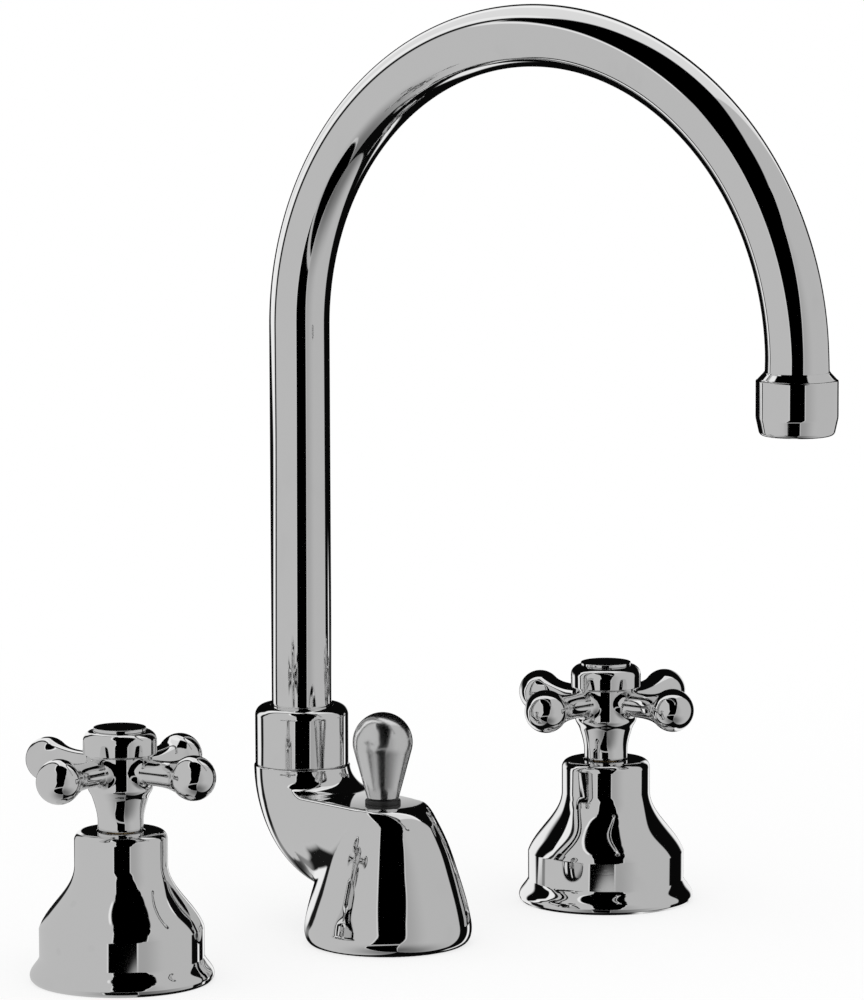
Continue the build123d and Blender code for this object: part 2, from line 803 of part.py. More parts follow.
def cartridge(x: float, y: float, side: str):
    """The ceramic headwork: brass barrel with hexagon, bottom seal, two discs and the spindle."""
    neck_top = skirt_height - skirt_lip - thread_gap
    with BuildPart() as piece:
        with BuildSketch(Plane.XY.offset(valve_top)):
            with Locations((x, y)):
                RegularPolygon(cartridge_flats / math.sqrt(3), 6)
        extrude(amount=cartridge_hex_height)
        stem_bore = spindle_radius + turning_gap
        cavity_top = driver_top + seat_gap
        turned(
            x,
            y,
            (0, barrel_bottom),
            (barrel_radius, barrel_bottom),
            (barrel_radius, hex_top),
            (cartridge_neck_radius, hex_top),
            (cartridge_neck_radius, neck_top),
            (0, neck_top),
        )
        with BuildSketch(Plane.XY.offset(barrel_bottom)):
            with Locations((x, y)):
                Circle(barrel_bore)
        extrude(amount=cavity_top - barrel_bottom, mode=Mode.SUBTRACT)
        with BuildSketch(Plane.XY.offset(barrel_bottom)):
            with Locations((x, y)):
                Circle(stem_bore)
        extrude(amount=neck_top - barrel_bottom, mode=Mode.SUBTRACT)
    finish(piece, f"{side}_cartridge")
    seal_outer = barrel_bore - turning_gap
    ring(x, y, valve_water_bore, seal_outer, barrel_bottom, seal_top, f"{side}_cartridge_seal")
    disc(x, y, 0, seal_top, f"{side}_fixed_disc")
    disc(x, y, 90, moving_disc_bottom, f"{side}_moving_disc")
    with BuildPart() as spindle:
        turned(
            x,
            y,
            (0, driver_bottom),
            (driver_radius, driver_bottom),
            (driver_radius, driver_top),
            (spindle_radius, driver_top),
            (spindle_radius, spindle_top),
            (screw_radius + turning_gap, spindle_top),
            (screw_radius + turning_gap, spindle_top - screw_grip),
            (0, spindle_top - screw_grip),
        )
    finish(spindle, f"{side}_spindle")


def cross_handle(x: float, y: float, turn: float, side: str):
    """The hub with its trumpet neck and drum, and four arms that swell into bulbs."""
    join = math.radians(bulb_join_angle)
    bulb_start = (bulb_reach + bulb_radius * math.cos(join), bulb_radius * math.sin(join))
    with BuildPart() as piece:
        with BuildSketch(upright(x, y)):
            with BuildLine():
                floor = Line((0, handle_bottom), (handle_neck_radius, handle_bottom))
                neck = Line(floor @ 1, (handle_neck_radius, handle_neck_top))
                trumpet = Spline(
                    neck @ 1, (flare_radius, flare_height), (bowl_radius, bowl_height), tangents=[(0, 1), (0, 1)]
                )
                bowl = Line(trumpet @ 1, (bowl_radius, drum_bottom))
                step = Line(bowl @ 1, (drum_radius, drum_band))
                drum = Line(step @ 1, (drum_radius, drum_shoulder))
                dome = Spline(drum @ 1, (hub_top_radius, hub_top), tangents=[(0, 1), (-1, 0.45)])
                top = Line(dome @ 1, (0, hub_top))
                Line(top @ 1, floor @ 0)
            make_face()
        revolve(axis=vertical(x, y))
        for arm in range(arm_count):
            heading = math.radians(turn + 360 / arm_count * arm)
            outward = Vector(math.cos(heading), math.sin(heading), 0)
            sideways = Vector(-math.sin(heading), math.cos(heading), 0)
            arm_plane = Plane(origin=(x, y, arm_height), x_dir=outward, z_dir=-sideways)
            with BuildSketch(arm_plane):
                with BuildLine():
                    root = Line((0, 0), (0, arm_radius))
                    shaft = Line(root @ 1, (arm_straight, arm_radius))
                    bulb_tangent = (math.sin(join), -math.cos(join))
                    swell = Spline(shaft @ 1, bulb_start, tangents=[(1, 0), bulb_tangent])
                    bulb_top = (bulb_reach, bulb_radius)
                    bulb = ThreePointArc(swell @ 1, bulb_top, (bulb_reach + bulb_radius, 0))
                    Line(bulb @ 1, root @ 0)
                make_face()
            revolve(axis=Axis((x, y, arm_height), outward))
        roots = piece.edges().filter_by(lambda edge: is_arm_root(edge, x, y))
        fillet(roots, radius=arm_fillet)
        with BuildSketch(Plane.XY.offset(handle_bottom)):
            with Locations((x, y)):
                Circle(spindle_radius + turning_gap)
        extrude(amount=hub_bore_top - handle_bottom, mode=Mode.SUBTRACT)
        with BuildSketch(Plane.XY.offset(hub_bore_top)):
            with Locations((x, y)):
                Circle(screw_radius + turning_gap)
        extrude(amount=hub_web, mode=Mode.SUBTRACT)
        with BuildSketch(Plane.XY.offset(screw_seat)):
            with Locations((x, y)):
                Circle(button_spigot_radius + thread_gap)
        extrude(amount=hub_top - screw_seat, mode=Mode.SUBTRACT)
    finish(piece, f"{side}_cross_handle")


def is_arm_root(edge: Edge, x: float, y: float) -> bool:
    """Whether an edge is the meeting line of an arm with the hub's bowl."""
    middle = edge.center()
    reach = math.hypot(middle.X - x, middle.Y - y)
    level = abs(middle.Z - arm_height) < arm_radius
    free = edge.geom_type not in (GeomType.CIRCLE, GeomType.LINE)
    return free and level and reach < arm_straight and edge.bounding_box().size.Z > arm_radius / 2


def handle_fixings(x: float, y: float, side: str):
    """The screw that holds the handle on its spindle, and the button that covers it."""
    with BuildPart() as screw:
        turned(
            x,
            y,
            (0, spindle_top - screw_grip + seat_gap),
            (screw_radius, spindle_top - screw_grip + seat_gap),
            (screw_radius, screw_seat),
            (screw_head_radius, screw_seat),
            (screw_head_radius, screw_seat + screw_head_height),
            (0, screw_seat + screw_head_height),
        )
    finish(screw, f"{side}_handle_screw")
    rim_top = hub_top + button_height - button_crown
    crown_radius = (button_radius**2 + button_crown**2) / (2 * button_crown)
    middle = button_radius / 2
    middle_height = rim_top + button_crown - crown_radius + math.sqrt(crown_radius**2 - middle**2)
    with BuildPart() as button:
        with BuildSketch(upright(x, y)):
            with BuildLine():
                side_line = Polyline(
                    (0, hub_top - button_spigot),
                    (button_spigot_radius, hub_top - button_spigot),
                    (button_spigot_radius, hub_top),
                    (button_radius, hub_top),
                    (button_radius, rim_top),
                )
                crown = ThreePointArc(side_line @ 1, (middle, middle_height), (0, rim_top + button_crown))
                Line(crown @ 1, side_line @ 0)
            make_face()
        revolve(axis=vertical(x, y))
    finish(button, f"{side}_index_button")


def side_valve(side: str, across: int, turn: float):
    """One complete deck valve with its handle; across is -1 on the hot side and 1 on the cold."""
    x, y = across * side_hole_offset, side_hole_set_back
    skirt(x, y, side)
    valve_body(x, y, -across, side)
    cartridge(x, y, side)
    cross_handle(x, y, turn, side)
    handle_fixings(x, y, side)


spout_base()
centre_fixing()
spout_collar()
spout_nipple()
spout_tube()
aerator()
lift_knob()
side_valve("hot", -1, handle_turn_hot)
side_valve("cold", 1, handle_turn_cold)
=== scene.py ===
"""Dresses the tall three-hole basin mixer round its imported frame.

The chrome castings, turned pieces and bent tube that show are built here as smooth meshes that
stand for their CAD nodes, the fittings inside and under the deck keep their CAD meshes and get
their own finishes, and a plain studio stands round the set, with a light tent for the mirror
images. Shape sizes are in millimetres, in the frame's own axes, and become metres when a mesh is
made.
"""

import logging
import math
from collections.abc import Callable, Sequence
from dataclasses import dataclass, field
from enum import Enum

import bmesh
import bpy
import numpy as np
from mathutils import Matrix, Vector


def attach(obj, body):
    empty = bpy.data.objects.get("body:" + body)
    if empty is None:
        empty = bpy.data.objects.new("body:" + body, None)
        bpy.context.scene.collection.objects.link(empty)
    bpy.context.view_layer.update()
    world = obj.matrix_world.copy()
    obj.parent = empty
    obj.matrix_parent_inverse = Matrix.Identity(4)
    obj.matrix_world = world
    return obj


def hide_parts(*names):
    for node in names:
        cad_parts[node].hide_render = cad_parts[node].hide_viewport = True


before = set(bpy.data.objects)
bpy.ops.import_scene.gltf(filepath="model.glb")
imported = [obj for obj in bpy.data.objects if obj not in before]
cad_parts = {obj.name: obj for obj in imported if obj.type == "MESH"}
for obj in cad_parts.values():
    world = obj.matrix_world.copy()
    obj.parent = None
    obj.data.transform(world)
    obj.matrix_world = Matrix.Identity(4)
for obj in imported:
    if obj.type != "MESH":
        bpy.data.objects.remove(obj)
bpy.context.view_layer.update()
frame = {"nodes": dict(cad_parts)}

LOG = logging.getLogger("basin_mixer")
MM = 0.001
Field = Callable[[np.ndarray], np.ndarray]


# ---------------------------------------------------------------- curves and outlines


@dataclass(frozen=True)
class SmoothCurve:
    """A natural cubic curve through measured points, straight beyond its ends."""

    places: tuple[float, ...]
    values: tuple[float, ...]

    def bends(self) -> np.ndarray:
        """Second derivatives at the points."""
        places, values = np.array(self.places), np.array(self.values)
        gaps = np.diff(places)
        slopes = np.diff(values) / gaps
        count = len(places)
        system, wanted = np.eye(count), np.zeros(count)
        for row in range(1, count - 1):
            system[row, row - 1 : row + 2] = gaps[row - 1], 2 * (gaps[row - 1] + gaps[row]), gaps[row]
            wanted[row] = 6 * (slopes[row] - slopes[row - 1])
        return np.linalg.solve(system, wanted)

    def __call__(self, place: np.ndarray) -> np.ndarray:
        """The curve's value at each place.

        Args:
            place: where to read the curve.

        Returns:
            The values there.
        """
        places, values, bends = np.array(self.places), np.array(self.values), self.bends()
        run = np.clip(np.searchsorted(places, place) - 1, 0, len(places) - 2)
        gap = places[run + 1] - places[run]
        inside = np.clip(place, places[0], places[-1])
        before, after = (places[run + 1] - inside) / gap, (inside - places[run]) / gap
        cubic = (before**3 - before) * bends[run] + (after**3 - after) * bends[run + 1]
        found = before * values[run] + after * values[run + 1] + cubic * gap**2 / 6
        first = (values[1] - values[0]) / (places[1] - places[0]) - (places[1] - places[0]) * bends[1] / 6
        last_gap = places[-1] - places[-2]
        last = (values[-1] - values[-2]) / last_gap + last_gap * bends[-2] / 6
        found = found + np.minimum(place - places[0], 0) * first
        return found + np.maximum(place - places[-1], 0) * last


@dataclass(frozen=True)
class Corner:
    """A corner of a turned outline, with the fillet that softens it."""

    radius: float
    height: float
    fillet: float = 0.25


def flowing(
    start: tuple[float, float],
    leaving: tuple[float, float],
    end: tuple[float, float],
    arriving: tuple[float, float],
    steps: int = 40,
) -> list[Corner]:
    """A cubic run of an outline between two points with given directions.

    Args:
        start: first radius and height.
        leaving: direction at the start, scaled by the chord.
        end: last radius and height.
        arriving: direction at the end, scaled by the chord.
        steps: how many runs the curve is cut into.

    Returns:
        The points after the start, as unsoftened corners.
    """
    first, last = np.array(start), np.array(end)
    chord = np.linalg.norm(last - first)
    out = np.array(leaving) / np.linalg.norm(leaving) * chord
    into = np.array(arriving) / np.linalg.norm(arriving) * chord
    found = []
    for step in range(1, steps + 1):
        t = step / steps
        point = (
            (2 * t**3 - 3 * t**2 + 1) * first
            + (t**3 - 2 * t**2 + t) * out
            + (3 * t**2 - 2 * t**3) * last
            + (t**3 - t**2) * into
        )
        found.append(Corner(float(point[0]), float(point[1]), 0))
    return found


def arc_run(
    centre: tuple[float, float], radius: float, start: float, end: float, steps: int = 24
) -> list[Corner]:
    """Points of a circular run of an outline, both ends included.

    Args:
        centre: radius and height of the arc's middle.
        radius: the arc's radius.
        start: first angle in degrees, from the outward direction.
        end: last angle in degrees.
        steps: how many runs the arc is cut into.

    Returns:
        The points as unsoftened corners.
    """
    angles = np.radians(np.linspace(start, end, steps + 1))
    return [
        Corner(centre[0] + radius * float(np.cos(angle)), centre[1] + radius * float(np.sin(angle)), 0)
        for angle in angles
    ]


def softened(corners: Sequence[Corner], closed: bool, steps: int = 5) -> np.ndarray:
    """Rounds an outline's corners by their fillets.

    Args:
        corners: the outline, in order.
        closed: whether the last corner joins the first.
        steps: runs in each fillet.

    Returns:
        The outline's radius and height points.
    """
    spots = [np.array((corner.radius, corner.height)) for corner in corners]
    found: list[np.ndarray] = []
    for index, (corner, spot) in enumerate(zip(corners, spots)):
        at_end = not closed and index in (0, len(spots) - 1)
        if at_end or corner.fillet <= 0:
            found.append(spot)
            continue
        back, ahead = spots[index - 1] - spot, spots[(index + 1) % len(spots)] - spot
        back_length, ahead_length = np.linalg.norm(back), np.linalg.norm(ahead)
        back, ahead = back / back_length, ahead / ahead_length
        opening = math.acos(float(np.clip(back @ ahead, -1, 1)))
        reach = min(corner.fillet / math.tan(opening / 2), 0.48 * back_length, 0.48 * ahead_length)
        fillet = reach * math.tan(opening / 2)
        middle = spot + (back + ahead) / np.linalg.norm(back + ahead) * fillet / math.sin(opening / 2)
        first, last = spot + back * reach - middle, spot + ahead * reach - middle
        sweep = math.pi - opening
        for step in range(steps + 1):
            share = step / steps
            weight_first = math.sin((1 - share) * sweep) / math.sin(sweep)
            weight_last = math.sin(share * sweep) / math.sin(sweep)
            found.append(middle + weight_first * first + weight_last * last)
    return np.array(found)


# ---------------------------------------------------------------- meshes


def object_from(
    name: str, points: np.ndarray, faces: Sequence[Sequence[int]], normals: np.ndarray
) -> bpy.types.Object:
    """Makes a smooth object with its own normals.

    Args:
        name: the piece's name.
        points: corners in millimetres.
        faces: corner indices of each face, seen from outside.
        normals: one outward direction for each corner.

    Returns:
        The new object, linked to the scene.
    """
    mesh = bpy.data.meshes.new(name)
    mesh.from_pydata((points * MM).tolist(), [], [list(face) for face in faces])
    mesh.shade_smooth()
    lengths = np.linalg.norm(normals, axis=1, keepdims=True)
    mesh.normals_split_custom_set_from_vertices((normals / np.maximum(lengths, 1e-9)).tolist())
    mesh.update()
    made = bpy.data.objects.new(name, mesh)
    bpy.context.scene.collection.objects.link(made)
    return made


def outline_normals(outline: np.ndarray, closed: bool) -> np.ndarray:
    """Outward directions along an outline, led by its longer runs.

    Args:
        outline: radius and height points, with the solid on the left.
        closed: whether the outline closes on itself.

    Returns:
        One radius and height direction for each point.
    """
    runs = np.roll(outline, -1, axis=0) - outline
    if not closed:
        runs[-1] = 0
    before = np.roll(runs, 1, axis=0)
    if not closed:
        before[0] = 0
    lengths = np.linalg.norm(runs, axis=1, keepdims=True)
    summed = runs * lengths + before * np.linalg.norm(before, axis=1, keepdims=True)
    return np.stack([summed[:, 1], -summed[:, 0]], axis=1)


def turned(name: str, outline: np.ndarray, axis: tuple[float, float], around: int = 144) -> bpy.types.Object:
    """Turns an outline about a vertical axis.

    An outline that starts and ends on the axis makes a solid cap at each end; any other closes on
    itself and makes a ring.

    Args:
        name: the piece's name.
        outline: radius and height points in millimetres, with the solid on the left.
        axis: x and y of the axis.
        around: how many runs go round.

    Returns:
        The turned object.
    """
    capped = outline[0][0] < 1e-6 and outline[-1][0] < 1e-6
    directions = outline_normals(outline, closed=not capped)
    angles = np.arange(around) * 2 * math.pi / around
    cosines, sines = np.cos(angles), np.sin(angles)
    rows = outline[1:-1] if capped else outline
    row_directions = directions[1:-1] if capped else directions

    def swept(pairs: np.ndarray, centre: tuple[float, float]) -> np.ndarray:
        """The ring of points or directions that each pair makes."""
        flat = np.repeat(pairs[:, 1], around)
        x = centre[0] + np.outer(pairs[:, 0], cosines).ravel()
        y = centre[1] + np.outer(pairs[:, 0], sines).ravel()
        return np.stack([x, y, flat], axis=1)

    points = swept(rows, axis)
    normals = swept(row_directions, (0.0, 0.0))
    row_count = len(rows)
    index = np.arange(row_count * around).reshape(row_count, around)
    upper = np.roll(index, -1, axis=0) if not capped else index[1:]
    lower = index if not capped else index[:-1]
    quads = np.stack([lower, np.roll(lower, -1, 1), np.roll(upper, -1, 1), upper], axis=-1).reshape(-1, 4)
    faces = quads.tolist()
    if capped:
        ends = np.array([(axis[0], axis[1], outline[0][1]), (axis[0], axis[1], outline[-1][1])])
        base = len(points)
        points = np.vstack([points, ends])
        normals = np.vstack([normals, [(0, 0, -1), (0, 0, 1)]])
        first, last = index[0], index[-1]
        faces += [[base, int(b), int(a)] for a, b in zip(first, np.roll(first, -1))]
        faces += [[base + 1, int(a), int(b)] for a, b in zip(last, np.roll(last, -1))]
    return object_from(name, points, faces, normals)


# ---------------------------------------------------------------- fields for the castings


def join_round(first: np.ndarray, second: np.ndarray, radius: np.ndarray | float) -> np.ndarray:
    """Both solids together, with a round fillet in the valley between them."""
    reach = np.hypot(np.maximum(radius - first, 0), np.maximum(radius - second, 0))
    return np.maximum(radius, np.minimum(first, second)) - reach


def cut_round(first: np.ndarray, second: np.ndarray, radius: np.ndarray | float) -> np.ndarray:
    """What both solids share, with a round edge where their sides meet."""
    reach = np.hypot(np.maximum(radius + first, 0), np.maximum(radius + second, 0))
    return np.minimum(-radius, np.maximum(first, second)) + reach


def eased(value: np.ndarray, low: float, high: float) -> np.ndarray:
    """A smooth rise from 0 at low to 1 at high."""
    share = np.clip((value - low) / (high - low), 0, 1)
    return share * share * (3 - 2 * share)


def hermite(place: np.ndarray, low: tuple[float, float, float], high: tuple[float, float, float]) -> tuple:
    """A cubic between two places, with its slope.

    Args:
        place: where to read it; places outside keep the end values.
        low: place, value and slope at the start.
        high: place, value and slope at the end.

    Returns:
        The values and the slopes.
    """
    gap = high[0] - low[0]
    t = np.clip((place - low[0]) / gap, 0, 1)
    value = (
        (2 * t**3 - 3 * t**2 + 1) * low[1]
        + (t**3 - 2 * t**2 + t) * gap * low[2]
        + (3 * t**2 - 2 * t**3) * high[1]
        + (t**3 - t**2) * gap * high[2]
    )
    slope = (
        (6 * t**2 - 6 * t) * (low[1] - high[1]) / gap
        + (3 * t**2 - 4 * t + 1) * low[2]
        + (3 * t**2 - 2 * t) * high[2]
    )
    return value, slope


@dataclass(frozen=True)
class Caster:
    """Turns a solid's distance field into a smooth mesh, with its points drawn onto the surface."""

    low: tuple[float, float, float]
    high: tuple[float, float, float]
    step: float
    block: int = 8
    slack: float = 1.8
    chunk: int = 400_000

    def read(self, shape: Field, points: np.ndarray) -> np.ndarray:
        """The field at many points, a part at a time."""
        parts = [shape(points[start : start + self.chunk]) for start in range(0, len(points), self.chunk)]
        return np.concatenate(parts)

    def slope(self, shape: Field, points: np.ndarray, reach: float) -> np.ndarray:
        """The field's gradient by central differences."""
        found = np.empty_like(points)
        for side in range(3):
            shift = np.zeros(3)
            shift[side] = reach
            ahead, behind = self.read(shape, points + shift), self.read(shape, points - shift)
            found[:, side] = (ahead - behind) / (2 * reach)
        return found

    def grid(self, shape: Field) -> tuple[np.ndarray, list[np.ndarray]]:
        """The field on a grid, worked out only in the blocks that the surface may cross."""
        span = self.block * self.step
        blocks = [int(math.ceil((high - low) / span)) for low, high in zip(self.low, self.high)]
        middles = [low + (np.arange(count) + 0.5) * span for low, count in zip(self.low, blocks)]
        middle_points = np.stack(np.meshgrid(*middles, indexing="ij"), axis=-1).reshape(-1, 3)
        coarse = self.read(shape, middle_points).reshape(blocks)
        near = np.abs(coarse) < self.slack * span * math.sqrt(3) / 2
        axes = [low + np.arange(count * self.block) * self.step for low, count in zip(self.low, blocks)]
        spread = np.ones((self.block,) * 3)
        wanted = np.kron(near, spread) > 0
        values = np.kron(np.where(coarse < 0, -span, span), spread)
        x, y, z = np.nonzero(wanted)
        points = np.stack([axes[0][x], axes[1][y], axes[2][z]], axis=1)
        values[x, y, z] = self.read(shape, points)
        return values, axes

    def mesh(self, shape: Field) -> tuple[np.ndarray, np.ndarray, np.ndarray]:
        """Builds the surface.

        Args:
            shape: the distance field, in millimetres, negative inside.

        Returns:
            Points, four-sided faces and outward normals.
        """
        values, axes = self.grid(shape)
        inside = values < 0
        corners = [(i, j, k) for i in (0, 1) for j in (0, 1) for k in (0, 1)]
        size = np.array(values.shape) - 1
        shifted = (inside[i : i + size[0], j : j + size[1], k : k + size[2]] for i, j, k in corners)
        stacked = sum(part.astype(np.int8) for part in shifted)
        active = (stacked > 0) & (stacked < 8)
        cells = np.stack(np.nonzero(active), axis=1)
        number = np.full(active.shape, -1)
        number[active] = np.arange(len(cells))
        total, hits = np.zeros((len(cells), 3)), np.zeros(len(cells))
        for first in corners:
            for side in range(3):
                if first[side]:
                    continue
                second = tuple(c + (index == side) for index, c in enumerate(first))
                one = values[tuple((cells + first).T)]
                two = values[tuple((cells + second).T)]
                crossed = (one < 0) != (two < 0)
                share = np.where(crossed, one / np.where(crossed, one - two, 1), 0)
                spot = np.array(first, float) + share[:, None] * (np.array(second) - np.array(first))
                total += np.where(crossed[:, None], spot, 0)
                hits += crossed
        points = np.array(self.low) + (cells + total / hits[:, None]) * self.step
        for _ in range(4):
            height = self.read(shape, points)
            rise = self.slope(shape, points, self.step / 20)
            move = height[:, None] * rise / np.maximum((rise**2).sum(1, keepdims=True), 0.04)
            length = np.linalg.norm(move, axis=1, keepdims=True)
            points = points - move * np.minimum(1, self.step / np.maximum(length, 1e-9))
        return points, self.faces(inside, number), self.slope(shape, points, self.step / 20)

    def faces(self, inside: np.ndarray, number: np.ndarray) -> np.ndarray:
        """The face that crosses each grid edge whose ends lie on different sides of the surface."""
        found = []
        for side in range(3):
            other, third = [(1, 2), (2, 0), (0, 1)][side]
            head, tail = [slice(1, -1)] * 3, [slice(1, -1)] * 3
            head[side], tail[side] = slice(0, -1), slice(1, None)
            crossed = inside[tuple(head)] != inside[tuple(tail)]
            start = np.stack(np.nonzero(crossed), axis=1)
            start[:, other] += 1
            start[:, third] += 1
            around = []
            for shift_other, shift_third in ((-1, -1), (0, -1), (0, 0), (-1, 0)):
                cell = start.copy()
                cell[:, other] += shift_other
                cell[:, third] += shift_third
                around.append(number[tuple(cell.T)])
            quads = np.stack(around, axis=1)
            outward = inside[tuple(start.T)]
            found.append(np.where(outward[:, None], quads, quads[:, ::-1]))
        quads = np.concatenate(found)
        return quads[(quads >= 0).all(axis=1)]


# ---------------------------------------------------------------- shader helpers


class Wires:
    """Adds nodes to a tree and joins them up."""

    def __init__(self, tree: bpy.types.NodeTree) -> None:
        """Starts on a tree.

        Args:
            tree: the node tree to build in.
        """
        self.tree = tree
        self.column = 0

    def node(self, kind: str, **settings: object) -> bpy.types.Node:
        """Adds a node and sets its properties."""
        made = self.tree.nodes.new(kind)
        self.column += 1
        made.location = (180 * (self.column % 12), -160 * (self.column // 12))
        for key, value in settings.items():
            setattr(made, key, value)
        return made

    def feed(self, socket: bpy.types.NodeSocket, value: object) -> None:
        """Links an output to a socket, or writes a plain value on it."""
        if isinstance(value, bpy.types.NodeSocket):
            self.tree.links.new(value, socket)
        else:
            socket.default_value = value

    def maths(self, operation: str, *values: object, clamp: bool = False) -> bpy.types.NodeSocket:
        """A Math node's output for the given inputs."""
        made = self.node("ShaderNodeMath", operation=operation, use_clamp=clamp)
        for socket, value in zip(made.inputs, values):
            self.feed(socket, value)
        return made.outputs[0]

    def times(self, first: object, second: object, clamp: bool = False) -> bpy.types.NodeSocket:
        """The product of two numbers."""
        return self.maths("MULTIPLY", first, second, clamp=clamp)

    def plus(self, first: object, second: object) -> bpy.types.NodeSocket:
        """The sum of two numbers."""
        return self.maths("ADD", first, second)

    def minus(self, first: object, second: object) -> bpy.types.NodeSocket:
        """The first number less the second."""
        return self.maths("SUBTRACT", first, second)

    def dot(self, vector: object, other: object) -> bpy.types.NodeSocket:
        """The dot product of two vectors."""
        made = self.node("ShaderNodeVectorMath", operation="DOT_PRODUCT")
        self.feed(made.inputs[0], vector)
        self.feed(made.inputs[1], other)
        return made.outputs["Value"]

    def scaled(self, vector: object, factors: Sequence[float]) -> bpy.types.NodeSocket:
        """A vector stretched along each axis."""
        made = self.node("ShaderNodeVectorMath", operation="MULTIPLY")
        self.feed(made.inputs[0], vector)
        self.feed(made.inputs[1], tuple(factors))
        return made.outputs[0]

    def noise(
        self, vector: object, scale: float, detail: float = 2.0, roughness: float = 0.5
    ) -> bpy.types.NodeSocket:
        """The value of a noise texture over a vector."""
        made = self.node("ShaderNodeTexNoise")
        self.feed(made.inputs["Vector"], vector)
        self.feed(made.inputs["Scale"], scale)
        self.feed(made.inputs["Detail"], detail)
        self.feed(made.inputs["Roughness"], roughness)
        return made.outputs["Fac"]

    def rise(
        self, value: object, low: object, high: object, bottom: float = 0.0, top: float = 1.0
    ) -> bpy.types.NodeSocket:
        """A smooth rise of a value between two levels."""
        made = self.node("ShaderNodeMapRange", interpolation_type="SMOOTHSTEP")
        names = ("Value", "From Min", "From Max", "To Min", "To Max")
        for name, given in zip(names, (value, low, high, bottom, top)):
            self.feed(made.inputs[name], given)
        return made.outputs[0]

    def blend(self, share: object, first: object, second: object) -> bpy.types.NodeSocket:
        """A colour mix of two colours."""
        made = self.node("ShaderNodeMix", data_type="RGBA")
        self.feed(made.inputs[0], share)
        self.feed(made.inputs[6], first)
        self.feed(made.inputs[7], second)
        return made.outputs[2]

    def relief(self, shader: bpy.types.Node, height: object, strength: float, distance: float) -> None:
        """Bumps a shader's surface by a height, with the bump's distance in metres."""
        bump = self.node("ShaderNodeBump")
        bump.inputs["Strength"].default_value = strength
        bump.inputs["Distance"].default_value = distance
        self.feed(bump.inputs["Height"], height)
        self.feed(shader.inputs["Normal"], bump.outputs[0])

    def slide(self, share: object, first: object, second: object) -> bpy.types.NodeSocket:
        """A number mix of two numbers."""
        made = self.node("ShaderNodeMix", data_type="FLOAT")
        self.feed(made.inputs[0], share)
        self.feed(made.inputs[2], first)
        self.feed(made.inputs[3], second)
        return made.outputs[0]


def grey(level: float) -> tuple[float, float, float, float]:
    """A neutral colour of one level."""
    return (level, level, level, 1.0)


class Effect(Enum):
    """The surface effects that more than one finish uses."""

    HANDLING = "handling_marks"
    HAIRLINES = "polishing_hairlines"
    TURNING = "turning_marks"
    GRAIN = "moulded_grain"


